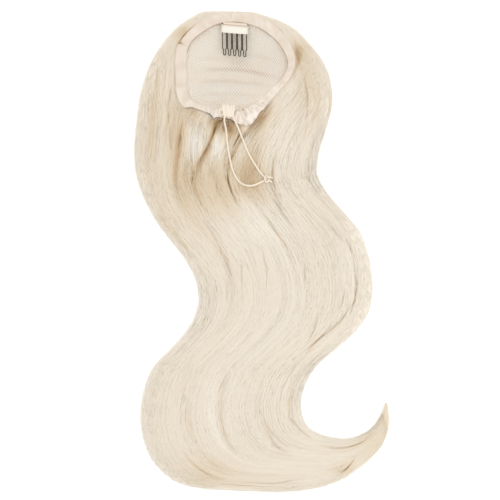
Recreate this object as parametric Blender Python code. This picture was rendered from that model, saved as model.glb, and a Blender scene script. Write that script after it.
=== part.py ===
"""Drawstring ponytail hairpiece, lying with the inside of its cap up.

Metres, +Z up. The hair rests on z = 0, +Y runs from the ends of the hair to the crown, and the origin is on
the floor under the middle of the hair's outline.
"""

from collections import namedtuple
from math import atan2, cos, pi, radians, sin, sqrt

import bmesh
import bpy
import numpy as np
from mathutils import Vector

# Hair
HAIR_LENGTH = 0.531
HAIR_WIDTH = 0.2805
TAIL_THICKNESS = 0.032
HAIR_UNDER_CAP = 0.012
RIDGE_HEIGHT = 0.0016
LOCK_HEIGHT = 0.0052

# Cap, measured to the middle of its casing
CAP_WIDTH = 0.1205
CAP_LENGTH = 0.1098
CAP_DEPTH = 0.018
CAP_INSET = 0.0024
CAP_ACROSS = 0.401
CAP_TILT = 0.010
NET_WALL = 0.0015
NET_FOLD = 0.0007
NET_FOLD_PITCH = 0.017
CASING_WIDTH = 0.0125
CASING_THICKNESS = 0.003
CASING_CROWN = 0.8
RUFFLE_HEIGHT = 0.0011
RUFFLE_PITCH = 0.0075

# Comb and its tab
COMB_TEETH = 5
COMB_PITCH = 0.00555
COMB_LENGTH = 0.032
COMB_TURN = radians(-4.5)
COMB_SHIFT = -0.0012
WIRE_DIAMETER = 0.00105
TOOTH_TIP_WIDTH = 0.0016
TOOTH_SPLIT = 0.0075
TAB_SIDE = 0.001
TAB_LENGTH = 0.0088
TAB_WALL = 0.001

# Drawstring
CORD_DIAMETER = 0.002
RIM_KNOT_CORD = 0.0024
RIM_KNOT_RADIUS = 0.0038
RIM_KNOT_SHIFT = -0.0094
RIM_KNOT_INWARD = 0.55
RIM_KNOT_TURN = radians(10)
END_KNOT_CORD = 0.0017
END_KNOT_RADIUS = 0.0025
END_KNOT_NEST = 0.00075
TAIL_LENGTH = 0.0035
TAIL_SPREAD = 0.25
KNOT_WEAVE = 0.46

# Gap between neighbouring pieces
CLEARANCE = 0.0003

SHARP_ANGLE = radians(40)

# Each row is a line across the hair, from the crown to the tip of the hook. Places are shares of the hair's
# width and length from its lower left corner; heights are shares of the cap's and of the tail's.
Section = namedtuple("Section", "left_x left_y right_x right_y cap_share tail_share")
HAIR_SECTIONS = (
    Section(0.370, 0.999, 0.420, 0.999, 0.45, 0.00),
    Section(0.275, 0.994, 0.502, 0.992, 0.80, 0.00),
    Section(0.180, 0.969, 0.588, 0.971, 0.92, 0.00),
    Section(0.118, 0.938, 0.675, 0.936, 0.98, 0.00),
    Section(0.063, 0.892, 0.737, 0.894, 1.04, 0.00),
    Section(0.031, 0.843, 0.773, 0.847, 1.07, 0.00),
    Section(0.014, 0.797, 0.776, 0.795, 1.08, 0.00),
    Section(0.000, 0.714, 0.727, 0.712, 0.58, 0.46),
    Section(0.014, 0.642, 0.725, 0.650, 0.00, 1.00),
    Section(0.090, 0.557, 0.822, 0.592, 0.00, 0.92),
    Section(0.188, 0.493, 0.896, 0.530, 0.00, 0.84),
    Section(0.251, 0.420, 0.933, 0.433, 0.00, 0.78),
    Section(0.227, 0.354, 0.910, 0.362, 0.00, 0.74),
    Section(0.145, 0.302, 0.820, 0.306, 0.00, 0.72),
    Section(0.063, 0.251, 0.714, 0.263, 0.00, 0.70),
    Section(0.024, 0.176, 0.655, 0.201, 0.00, 0.68),
    Section(0.033, 0.110, 0.662, 0.151, 0.00, 0.64),
    Section(0.086, 0.056, 0.700, 0.129, 0.00, 0.60),
    Section(0.196, 0.016, 0.752, 0.119, 0.00, 0.55),
    Section(0.384, 0.003, 0.800, 0.116, 0.00, 0.50),
    Section(0.592, 0.001, 0.847, 0.117, 0.00, 0.45),
    Section(0.769, 0.019, 0.894, 0.124, 0.00, 0.40),
    Section(0.886, 0.052, 0.933, 0.137, 0.00, 0.34),
    Section(0.963, 0.091, 0.961, 0.155, 0.00, 0.28),
    Section(0.999, 0.139, 0.975, 0.172, 0.00, 0.21),
    Section(0.997, 0.182, 0.988, 0.184, 0.00, 0.12),
)
STATIONS_PER_SECTION = 2
RIDGES = 8
EDGE_HEIGHT = 0.30
EDGE_FULLNESS = 3.2
UNDERSIDE_INSET = 0.035

# Each row is a lock that lies on the hair. It starts and ends at section numbers; its places across are
# shares of the hair's width there from the left, the bow being how far its middle leaves the straight line.
Lock = namedtuple("Lock", "start end from_left to_left bow width rise")
LOCKS = (
    Lock(1.2, 13.0, 0.10, 0.10, 0.00, 0.16, 0.8),
    Lock(1.5, 10.5, 0.84, 0.92, 0.03, 0.15, 0.9),
    Lock(5.6, 15.5, 0.42, 0.24, -0.05, 0.13, 1.0),
    Lock(5.8, 14.0, 0.50, 0.42, -0.02, 0.11, 0.9),
    Lock(6.0, 12.5, 0.58, 0.66, 0.03, 0.13, 1.0),
    Lock(7.0, 17.0, 0.76, 0.80, 0.01, 0.15, 0.8),
    Lock(8.5, 15.8, 0.94, 0.93, 0.00, 0.11, 1.0),
    Lock(9.5, 19.5, 0.52, 0.55, 0.03, 0.15, 0.9),
    Lock(11.0, 21.0, 0.12, 0.20, 0.00, 0.16, 0.8),
    Lock(12.5, 22.5, 0.34, 0.42, 0.00, 0.14, 0.9),
    Lock(14.5, 23.6, 0.72, 0.62, 0.02, 0.16, 0.9),
    Lock(16.5, 24.2, 0.88, 0.78, 0.00, 0.15, 0.7),
)
LOCK_SIDES = 6
LOCK_STEP = 0.6
LOCK_SUNK = 0.5
LOCK_THIN_END = 0.2

# Each row is a point of the casing's middle line, clockwise from the crown, as shares of the cap's width and
# length from the cap's middle. The width is a share of the casing's; the gather says how ruffled it is.
RimPoint = namedtuple("RimPoint", "x y width gather")
RIM = (
    RimPoint(-0.038, 0.499, 0.90, 0.0),
    RimPoint(0.153, 0.470, 1.00, 0.0),
    RimPoint(0.309, 0.380, 0.95, 0.0),
    RimPoint(0.437, 0.235, 0.85, 0.0),
    RimPoint(0.499, 0.070, 0.78, 0.2),
    RimPoint(0.464, -0.055, 0.80, 0.7),
    RimPoint(0.354, -0.205, 0.90, 1.0),
    RimPoint(0.236, -0.345, 0.95, 1.0),
    RimPoint(0.090, -0.480, 1.10, 1.0),
    RimPoint(-0.075, -0.500, 1.00, 1.0),
    RimPoint(-0.248, -0.460, 0.90, 0.8),
    RimPoint(-0.413, -0.400, 0.95, 0.4),
    RimPoint(-0.486, -0.275, 1.00, 0.1),
    RimPoint(-0.500, -0.085, 0.95, 0.0),
    RimPoint(-0.495, 0.125, 0.95, 0.0),
    RimPoint(-0.449, 0.265, 0.85, 0.0),
    RimPoint(-0.340, 0.380, 0.90, 0.0),
    RimPoint(-0.203, 0.465, 0.92, 0.0),
)
CASING_STATIONS = 100
NET_STATIONS = 40
NET_RINGS = (0.18, 0.34, 0.48, 0.61, 0.73, 0.84, 0.93, 1.0)
NET_CURVE = 2.3
FLANGE_REACH = 0.25

# The routes of the drawstring's two legs, from the rim knot to the end knot
LEFT_ROUTE = (
    (-0.0398, 0.1478, 0.0416),
    (-0.0405, 0.1458, 0.0415),
    (-0.0406, 0.1422, 0.0408),
    (-0.0398, 0.1378, 0.0387),
    (-0.0388, 0.1332, 0.0369),
    (-0.0381, 0.1265, 0.0364),
    (-0.0374, 0.1193, 0.0364),
    (-0.0364, 0.1120, 0.0361),
    (-0.0352, 0.1050, 0.0355),
    (-0.0337, 0.0972, 0.0348),
    (-0.0317, 0.0896, 0.0342),
    (-0.0287, 0.0827, 0.0336),
    (-0.0241, 0.0764, 0.0331),
    (-0.0184, 0.0729, 0.0335),
    (-0.0123, 0.0720, 0.0347),
    (-0.0082, 0.0727, 0.0349),
    (-0.0044, 0.0742, 0.0348),
    (-0.0008, 0.0759, 0.0340),
    (0.0023, 0.0775, 0.0333),
)
RIGHT_ROUTE = (
    (-0.0336, 0.1505, 0.0416),
    (-0.0323, 0.1490, 0.0416),
    (-0.0306, 0.1462, 0.0414),
    (-0.0288, 0.1423, 0.0406),
    (-0.0267, 0.1378, 0.0385),
    (-0.0244, 0.1325, 0.0366),
    (-0.0226, 0.1281, 0.0361),
    (-0.0200, 0.1213, 0.0360),
    (-0.0173, 0.1146, 0.0359),
    (-0.0140, 0.1072, 0.0359),
    (-0.0101, 0.1000, 0.0351),
    (-0.0063, 0.0941, 0.0341),
    (-0.0029, 0.0889, 0.0334),
    (0.0003, 0.0847, 0.0330),
    (0.0030, 0.0815, 0.0329),
)
ROUTE_STEPS = 22
KNOT_STEPS = 36
KNOT_PARTING = 0.32

# Values that follow from the sizes above
RIM_HEIGHT = HAIR_UNDER_CAP + CLEARANCE + NET_WALL + CAP_DEPTH
NET_FLOOR = RIM_HEIGHT - CAP_DEPTH
TAB_WIDTH = COMB_TEETH * COMB_PITCH + 2 * TAB_SIDE
TAB_THICKNESS = WIRE_DIAMETER + 2 * CLEARANCE + 2 * TAB_WALL
CAP_X = (CAP_ACROSS - 0.5) * HAIR_WIDTH
CAP_Y = HAIR_LENGTH / 2 - CAP_INSET - RIM[0].width * CASING_WIDTH / 2 - CAP_LENGTH / 2


def clear_scene():
    for item in list(bpy.data.objects):
        bpy.data.objects.remove(item, do_unlink=True)


def material(name, colour, roughness, metallic=0.0):
    made = bpy.data.materials.new(name)
    made.use_nodes = True
    shader = made.node_tree.nodes["Principled BSDF"]
    shader.inputs["Base Color"].default_value = (*colour, 1.0)
    shader.inputs["Roughness"].default_value = roughness
    shader.inputs["Metallic"].default_value = metallic
    made.diffuse_color = (*colour, 1.0)
    return made


def add_object(name, data, finish=None):
    made = bpy.data.objects.new(name, data)
    bpy.context.collection.objects.link(made)
    if finish:
        data.materials.append(finish)
    return made


def add_mesh(name, points, faces, finish=None):
    """A mesh object with its faces turned outward and shaded smooth where they meet gently."""
    mesh = bpy.data.meshes.new(name)
    mesh.from_pydata([tuple(p) for p in points], [], faces)
    work = bmesh.new()
    work.from_mesh(mesh)
    bmesh.ops.recalc_face_normals(work, faces=work.faces)
    work.to_mesh(mesh)
    work.free()
    mesh.shade_smooth()
    mesh.set_sharp_from_angle(angle=SHARP_ANGLE)
    return add_object(name, mesh, finish)


def as_guide(made):
    """A cutter or a lock before it is fused: shown as wire and left out of the model."""
    made.hide_render = True
    made.display_type = "WIRE"
    return made


def loft(rings, closed):
    """Faces between rings of equally many points; an open loft is capped at both ends."""
    count = len(rings[0])
    points = [p for ring in rings for p in ring]
    faces = []
    for i in range(len(rings) if closed else len(rings) - 1):
        here = i * count
        there = (i + 1) % len(rings) * count
        for j in range(count):
            k = (j + 1) % count
            faces.append((here + j, here + k, there + k, there + j))
    if not closed:
        faces.append(tuple(range(count)))
        faces.append(tuple((len(rings) - 1) * count + j for j in range(count)))
    return points, faces


def spline(rows, place, closed=False):
    """The value at a place, counted in rows, on a smooth curve through all the rows."""
    rows = np.asarray(rows, float)
    count = len(rows)
    first = int(place) if closed else min(int(place), count - 2)
    share = place - first

    def row(i):
        if closed:
            return rows[i % count]
        if i < 0:
            return 2 * rows[0] - rows[1]
        if i >= count:
            return 2 * rows[-1] - rows[-2]
        return rows[i]

    p0, p1, p2, p3 = (row(first + k) for k in (-1, 0, 1, 2))
    turn = 2 * p0 - 5 * p1 + 4 * p2 - p3
    twist = 3 * (p1 - p2) + p3 - p0
    return 0.5 * (2 * p1 + (p2 - p0) * share + turn * share**2 + twist * share**3)


def even_places(rows, count, closed, fine=40):
    """Places on the smooth curve through the rows that lie equally far apart along it."""
    spans = len(rows) if closed else len(rows) - 1
    places = np.linspace(0, spans, spans * fine + 1)
    points = np.array([spline(rows, min(p, spans - 1e-9), closed)[:3] for p in places])
    run = np.concatenate([[0], np.cumsum(np.linalg.norm(np.diff(points, axis=0), axis=1))])
    wanted = np.linspace(0, run[-1], count, endpoint=not closed)
    return [min(float(p), spans - 1e-9) for p in np.interp(wanted, run, places)]


# The form of the hair


def hair_line(place):
    """The left and right ends of the line across the hair at a place, and the height there."""
    row = Section(*spline(HAIR_SECTIONS, place))
    left = Vector(((row.left_x - 0.5) * HAIR_WIDTH, (row.left_y - 0.5) * HAIR_LENGTH, 0))
    right = Vector(((row.right_x - 0.5) * HAIR_WIDTH, (row.right_y - 0.5) * HAIR_LENGTH, 0))
    return left, right, row.cap_share * RIM_HEIGHT + row.tail_share * TAIL_THICKNESS


def crown_of_section(across, height):
    """The height of the smooth mass at a place across it: full in the middle, lower at its edges."""
    side = abs(2 * across - 1)
    full = sqrt(max(0.0, 1 - side**EDGE_FULLNESS))
    return height * (EDGE_HEIGHT + (1 - EDGE_HEIGHT) * full)


def hair_section(place):
    """One ring of the hair's mass: a ridged top, rounded edges and a flat underside."""
    left, right, height = hair_line(place)
    ring = []
    steps = 2 * RIDGES
    for j in range(steps + 1):
        across = j / steps
        point = left.lerp(right, across)
        ridge = RIDGE_HEIGHT * (-1) ** j * min(1.0, height / TAIL_THICKNESS)
        edge = j in (0, steps)
        point.z = crown_of_section(across, height) + (0.0 if edge else ridge)
        ring.append(point)
    ring.append(left.lerp(right, 1 - UNDERSIDE_INSET))
    ring.append(left.lerp(right, UNDERSIDE_INSET))
    return ring


def lock_rings(lock):
    """The rings of one lock, half sunk in the hair and thin at both ends."""
    count = max(4, round((lock.end - lock.start) / LOCK_STEP))
    rings = []
    for i in range(count + 1):
        share = i / count
        left, right, height = hair_line(lock.start + share * (lock.end - lock.start))
        ease = share * share * (3 - 2 * share)
        across = lock.from_left + (lock.to_left - lock.from_left) * ease + lock.bow * sin(pi * share)
        taper = max(LOCK_THIN_END, sin(pi * share) ** 0.6)
        reach = (right - left).length * lock.width / 2 * taper
        rise = LOCK_HEIGHT * lock.rise * taper * min(1.0, height / TAIL_THICKNESS)
        middle = left.lerp(right, across)
        middle.z = crown_of_section(across, height) - LOCK_SUNK * rise
        side = (right - left).normalized()
        ring = []
        for k in range(LOCK_SIDES):
            turn = 2 * pi * k / LOCK_SIDES
            slope = crown_of_section(across + lock.width * cos(turn) / 4, height)
            point = middle + side * reach * cos(turn)
            point.z += rise * sin(turn) + (slope - crown_of_section(across, height)) / 2
            ring.append(point)
        rings.append(ring)
    return rings


def make_hair(finish):
    last = len(HAIR_SECTIONS) - 1
    places = np.linspace(0, last, last * STATIONS_PER_SECTION + 1)
    points, faces = loft([hair_section(min(p, last - 1e-9)) for p in places], closed=False)
    hair = add_mesh("hair", points, faces, finish)
    locks = bpy.data.collections.new("locks")
    bpy.context.scene.collection.children.link(locks)
    for number, lock in enumerate(LOCKS, 1):
        made = as_guide(add_mesh(f"lock_{number}", *loft(lock_rings(lock), closed=False)))
        locks.objects.link(made)
        bpy.context.collection.objects.unlink(made)
    fuse = hair.modifiers.new("fuse locks", "BOOLEAN")
    fuse.operation = "UNION"
    fuse.operand_type = "COLLECTION"
    fuse.collection = locks
    cut = hair.modifiers.new("seat for the cap", "BOOLEAN")
    cut.operation = "DIFFERENCE"
    cut.object = make_cap_cutter()
    return hair


# The form of the cap


def rim_height(y):
    """The height of the casing's middle, rising from the crown to the gathered edge."""
    return RIM_HEIGHT - CAP_TILT * (y - CAP_Y) / CAP_LENGTH


RimStation = namedtuple("RimStation", "middle outward width gather run")


def rim_stations(count):
    """Stations equally far apart along the rim, with the way out and the casing's width at each."""
    scaled = [(r.x * CAP_WIDTH, r.y * CAP_LENGTH, 0, r.width, r.gather) for r in RIM]
    stations = []
    run = 0.0
    for place in even_places(scaled, count, closed=True):
        x, y, _, width, gather = spline(scaled, place, closed=True)
        ahead = spline(scaled, place + 0.01, closed=True)
        along = Vector((ahead[0] - x, ahead[1] - y, 0)).normalized()
        outward = Vector((-along.y, along.x, 0))
        middle = Vector((CAP_X + x, CAP_Y + y, rim_height(CAP_Y + y)))
        if stations:
            run += (middle - stations[-1].middle).length
        stations.append(RimStation(middle, outward, width * CASING_WIDTH, gather, run))
    return stations


def net_point(station, share):
    """A point on the top of the net, from the middle of the bowl (0) to the casing's inner edge (1)."""
    edge = station.middle - station.outward * station.width / 2
    edge.z = station.middle.z - CASING_THICKNESS / 2 - CLEARANCE
    centre = Vector((CAP_X, CAP_Y, NET_FLOOR))
    point = centre.lerp(edge, share)
    point.z = NET_FLOOR + (edge.z - NET_FLOOR) * share**NET_CURVE
    fold = NET_FOLD * sin(2 * pi * (point.y - CAP_Y) / NET_FOLD_PITCH) * (1 - share**2) * share
    point.z += fold
    return point


def net_flange(station, reach):
    """A point on the net's flange under the casing, at a share of its width from the middle line."""
    point = station.middle + station.outward * station.width * reach
    point.z -= CASING_THICKNESS / 2 + CLEARANCE
    return point


def net_surface(stations, sink=0.0):
    """The bowl and its flange as an open sheet, sunk along its normals."""
    rings = [[net_point(s, share) for s in stations] for share in NET_RINGS]
    rings.append([net_flange(s, 0.0) for s in stations])
    rings.append([net_flange(s, FLANGE_REACH) for s in stations])
    points = [Vector((CAP_X, CAP_Y, NET_FLOOR))] + [p for ring in rings for p in ring]
    count = len(stations)
    faces = [(0, 1 + j, 1 + (j + 1) % count) for j in range(count)]
    for i in range(len(rings) - 1):
        for j in range(count):
            k = (j + 1) % count
            here = 1 + i * count
            faces.append((here + j, here + count + j, here + count + k, here + k))
    if sink:
        mesh = bpy.data.meshes.new("sheet")
        mesh.from_pydata([tuple(p) for p in points], [], faces)
        up = [1 if v.normal.z > 0 else -1 for v in mesh.vertices]
        points = [p - v.normal * u * sink for p, v, u in zip(points, mesh.vertices, up)]
        bpy.data.meshes.remove(mesh)
    return points, faces


def make_cap_cutter():
    """What the cap takes out of the hair: the bowl, the casing and the air over them."""
    stations = rim_stations(NET_STATIONS)
    points, faces = net_surface(stations, sink=NET_WALL + CLEARANCE)
    count = len(stations)
    brim = len(points) - count
    outer = [s.middle + s.outward * (s.width / 2 + CLEARANCE) for s in stations]
    foot = [p - Vector((0, 0, CASING_THICKNESS / 2 + CLEARANCE)) for p in outer]
    top = [Vector((p.x, p.y, 2 * RIM_HEIGHT + TAIL_THICKNESS)) for p in outer]
    points += foot + top
    for i in range(2):
        here = brim + i * count
        for j in range(count):
            k = (j + 1) % count
            faces.append((here + j, here + count + j, here + count + k, here + k))
    faces.append(tuple(brim + 2 * count + j for j in range(count)))
    return as_guide(add_mesh("cap_cutter", points, faces))


def make_net(finish):
    points, faces = net_surface(rim_stations(NET_STATIONS))
    net = add_mesh("cap_net", points, faces, finish)
    if net.data.polygons[0].normal.z < 0:
        net.data.flip_normals()
    wall = net.modifiers.new("wall", "SOLIDIFY")
    wall.thickness = NET_WALL
    wall.offset = -1
    return net


def casing_section(station):
    """One ring of the casing: flat below, crowned above, and lifted by the ruffles where it is gathered."""
    wave = station.gather * sin(2 * pi * station.run / RUFFLE_PITCH)
    half = station.width / 2
    thick = CASING_THICKNESS / 2
    lift = RUFFLE_HEIGHT * wave
    shoulder = half - thick
    profile = (
        (-half, 0.0),
        (-shoulder, CASING_CROWN * thick),
        (0.0, thick + lift),
        (shoulder, CASING_CROWN * thick + lift),
        (half - thick / 3 + min(lift, 0.0), 0.0),
        (shoulder, -thick),
        (-shoulder, -thick),
    )
    up = Vector((0, 0, 1))
    return [station.middle + station.outward * out + up * height for out, height in profile]


def make_casing(finish):
    points, faces = loft([casing_section(s) for s in rim_stations(CASING_STATIONS)], closed=True)
    return add_mesh("rim_casing", points, faces, finish)


# Comb and tab


def comb_frame():
    """Where the comb lies: the middle of the tab's folded edge, across and along the comb, and up.

    The tab starts just inside the casing, and the comb slopes down into the bowl clear of the net.
    """
    across = Vector((cos(COMB_TURN), sin(COMB_TURN), 0))
    along = Vector((sin(COMB_TURN), -cos(COMB_TURN), 0))
    stations = rim_stations(4 * NET_STATIONS)
    middle_x = CAP_X + COMB_SHIFT
    head = CAP_Y + CAP_LENGTH
    for s in stations:
        edge = s.middle - s.outward * s.width / 2
        offset = (edge.x - middle_x) / across.x
        if edge.y > CAP_Y and abs(offset) < TAB_WIDTH / 2 + 2 * CLEARANCE:
            head = min(head, edge.y - offset * across.y)
    head -= CLEARANCE
    reach = TAB_LENGTH + COMB_LENGTH
    near = Vector((middle_x, head, 0))
    far = near + along * reach
    near.z = net_height(near.x, near.y)
    far.z = net_height(far.x, far.y)
    slope = (far - near).normalized()
    lift = 0.0
    for i in range(9):
        for j in range(-4, 5):
            point = near + slope * reach * i / 8 + across * TAB_WIDTH / 2 * j / 4
            lift = max(lift, net_height(point.x, point.y) - point.z)
    up = across.cross(slope) * -1
    if up.z < 0:
        up = up * -1
    near = near + up * (lift + TAB_THICKNESS / 2 + CLEARANCE)
    return near, across, slope, up


def net_height(x, y):
    """The height of the net's top under a point of the plan, read between the casing's inner edges."""
    angle = atan2(y - CAP_Y, x - CAP_X)
    distance = Vector((x - CAP_X, y - CAP_Y)).length
    edge = min(rim_stations(4 * NET_STATIONS), key=lambda s: abs(turn_between(s.middle, angle)))
    edge_point = edge.middle - edge.outward * edge.width / 2
    reach = Vector((edge_point.x - CAP_X, edge_point.y - CAP_Y)).length
    return net_point(edge, min(1.0, distance / reach)).z


def turn_between(point, angle):
    turn = atan2(point.y - CAP_Y, point.x - CAP_X) - angle
    return (turn + pi) % (2 * pi) - pi


def comb_path():
    """The comb's wire in its own plane: across it, and along it from the bends inside the tab."""
    bend = (WIRE_DIAMETER + CLEARANCE) / 2
    leg = COMB_PITCH / 2 - bend
    tip = TOOTH_TIP_WIDTH / 2
    start = TAB_WALL + CLEARANCE + WIRE_DIAMETER / 2
    end = start + COMB_LENGTH
    path = []
    for tooth in range(COMB_TEETH):
        middle = (tooth - (COMB_TEETH - 1) / 2) * COMB_PITCH
        path.append((middle - leg, start + bend))
        path.append((middle - leg, end - TOOTH_SPLIT))
        for i in range(5):
            turn = pi * i / 4
            path.append((middle - tip * cos(turn), end - tip + tip * sin(turn)))
        path.append((middle + leg, end - TOOTH_SPLIT))
        path.append((middle + leg, start + bend))
        if tooth < COMB_TEETH - 1:
            for i in range(1, 4):
                turn = pi * i / 4
                path.append((middle + leg + bend - bend * cos(turn), start + bend - bend * sin(turn)))
    return path


def make_comb(finish):
    near, across, along, _ = comb_frame()
    points = [near + across * x + along * y for x, y in comb_path()]
    return add_cord("comb", points, WIRE_DIAMETER, finish, resolution=1)


def make_tab(finish):
    """The folded sleeve round the comb's upper bends, open towards the teeth."""
    near, across, along, up = comb_frame()
    half = TAB_THICKNESS / 2
    slot = half - TAB_WALL
    profile = [(TAB_LENGTH, half)]
    for i in range(5):
        turn = pi / 2 + pi * i / 4
        profile.append((half + half * cos(turn), half * sin(turn)))
    profile += [(TAB_LENGTH, -half), (TAB_LENGTH, -slot), (TAB_WALL, -slot), (TAB_WALL, slot), (TAB_LENGTH, slot)]
    rings = []
    for end in (-1, 1):
        side = across * end * TAB_WIDTH / 2
        rings.append([near + side + along * out + up * height for out, height in profile])
    return add_mesh("comb_tab", *loft(rings, closed=False), finish)


# Drawstring


def add_cord(name, points, diameter, finish, closed=False, resolution=2):
    """A round cord or wire along the points."""
    curve = bpy.data.curves.new(name, "CURVE")
    curve.dimensions = "3D"
    curve.bevel_depth = diameter / 2
    curve.bevel_resolution = resolution
    curve.use_fill_caps = not closed
    run = curve.splines.new("POLY")
    run.points.add(len(points) - 1)
    for item, point in zip(run.points, points):
        item.co = (*point, 1)
    run.use_cyclic_u = closed
    return add_object(name, curve, finish)


def trefoil(radius, turn, count, start=0.0, end=2 * pi):
    """Points of a flat-lying trefoil whose first lobe points along +X, turned about Z."""
    small = KNOT_WEAVE * radius
    points = []
    for i in range(count):
        phase = start + (end - start) * i / count
        out = radius + small * cos(3 * phase)
        angle = 2 * phase + turn
        points.append(Vector((out * cos(angle), out * sin(angle), small * sin(3 * phase))))
    return points


def knot_rise(radius, diameter):
    """How far a trefoil reaches above its middle."""
    return KNOT_WEAVE * radius + diameter / 2


def make_rim_knot(finish):
    """The knot on the gathered casing, where the string comes out."""
    gathered = [s for s in rim_stations(4 * NET_STATIONS) if s.middle.y < CAP_Y]
    seat = min(gathered, key=lambda s: abs(s.middle.x - CAP_X - RIM_KNOT_SHIFT))
    middle = seat.middle - seat.outward * seat.width * RIM_KNOT_INWARD
    middle.x = CAP_X + RIM_KNOT_SHIFT
    middle.z += CASING_THICKNESS / 2 + CLEARANCE + knot_rise(RIM_KNOT_RADIUS, RIM_KNOT_CORD)
    points = [middle + p for p in trefoil(RIM_KNOT_RADIUS, RIM_KNOT_TURN, KNOT_STEPS)]
    return add_cord("rim_knot", points, RIM_KNOT_CORD, finish, closed=True, resolution=1)


def smooth_route(route):
    return [Vector(spline(route, place)) for place in even_places(route, ROUTE_STEPS, closed=False)]


def make_end_knot(finish):
    """The small knot that joins the two legs, with its two cut tails to the right."""
    reach = END_KNOT_RADIUS + knot_rise(END_KNOT_RADIUS, END_KNOT_CORD)
    middle = (Vector(LEFT_ROUTE[-1]) + Vector(RIGHT_ROUTE[-1])) / 2
    middle.x += reach - END_KNOT_NEST
    middle.z += knot_rise(END_KNOT_RADIUS, END_KNOT_CORD) - CORD_DIAMETER / 2
    ring = trefoil(END_KNOT_RADIUS, 0.0, KNOT_STEPS, KNOT_PARTING, 2 * pi - KNOT_PARTING)
    tails = []
    for point in (ring[0], ring[-1]):
        out = Vector((1, TAIL_SPREAD if point.y > 0 else -TAIL_SPREAD, 0)).normalized()
        tails.append([point + out * TAIL_LENGTH * share for share in (0.5, 1.0)])
    points = tails[0][::-1] + ring + tails[1]
    return add_cord("drawstring_knot", [middle + p for p in points], END_KNOT_CORD, finish, resolution=1)


def build():
    clear_scene()
    net_thread = material("net", (0.78, 0.68, 0.58), 0.85)
    ribbon = material("casing", (0.87, 0.72, 0.60), 0.6)
    string = material("string", (0.90, 0.78, 0.60), 0.55)
    make_hair(material("hair", (0.80, 0.72, 0.58), 0.45))
    make_net(net_thread)
    make_casing(ribbon)
    make_comb(material("wire", (0.02, 0.02, 0.02), 0.35, 0.6))
    make_tab(material("tab", (0.90, 0.88, 0.82), 0.6))
    make_rim_knot(string)
    add_cord("drawstring_left", smooth_route(LEFT_ROUTE), CORD_DIAMETER, string)
    add_cord("drawstring_right", smooth_route(RIGHT_ROUTE), CORD_DIAMETER, string)
    make_end_knot(string)


build()
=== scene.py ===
"""Looks of the drawstring ponytail hairpiece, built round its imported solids.

Metres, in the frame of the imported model: +Z up, +Y from the ends of the hair to the crown.
"""

from collections import namedtuple
from math import cos, pi, radians, sin, tau

import bpy
import numpy as np
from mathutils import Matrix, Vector
from mathutils.bvhtree import BVHTree


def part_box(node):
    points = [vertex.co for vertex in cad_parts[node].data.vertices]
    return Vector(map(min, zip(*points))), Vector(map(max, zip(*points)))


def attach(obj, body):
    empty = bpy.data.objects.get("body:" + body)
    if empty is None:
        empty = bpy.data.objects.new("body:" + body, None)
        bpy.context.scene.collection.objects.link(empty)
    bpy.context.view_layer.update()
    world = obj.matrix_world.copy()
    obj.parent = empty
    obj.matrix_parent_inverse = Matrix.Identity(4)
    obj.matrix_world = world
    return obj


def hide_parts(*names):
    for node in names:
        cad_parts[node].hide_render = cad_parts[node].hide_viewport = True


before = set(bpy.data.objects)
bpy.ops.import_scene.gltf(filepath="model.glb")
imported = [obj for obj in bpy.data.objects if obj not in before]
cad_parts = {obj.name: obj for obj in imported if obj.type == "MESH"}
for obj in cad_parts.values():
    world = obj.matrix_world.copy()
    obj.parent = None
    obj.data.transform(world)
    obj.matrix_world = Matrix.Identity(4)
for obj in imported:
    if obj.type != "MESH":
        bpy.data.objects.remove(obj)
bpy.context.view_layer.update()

HAIR_LOW, HAIR_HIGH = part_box("hair")
HAIR_WIDTH = HAIR_HIGH.x - HAIR_LOW.x
HAIR_LENGTH = HAIR_HIGH.y - HAIR_LOW.y

# Sizes that the solids were made from
TAIL_THICKNESS = 0.032
RIM_HEIGHT = 0.0318
EDGE_HEIGHT = 0.30
EDGE_FULLNESS = 3.2
UNDERSIDE_INSET = 0.035
LOCK_HEIGHT = 0.0052
CAP_WIDTH = 0.1205
CAP_LENGTH = 0.1098
CAP_DEPTH = 0.018
CAP_X = -0.02777
CAP_Y = 0.202575
CAP_TILT = 0.010
NET_WALL = 0.0015
NET_FOLD = 0.0007
NET_FOLD_PITCH = 0.017
NET_CURVE = 2.3
CASING_WIDTH = 0.0125
CASING_THICKNESS = 0.003
CLEARANCE = 0.0003
CORD_DIAMETER = 0.002

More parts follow.
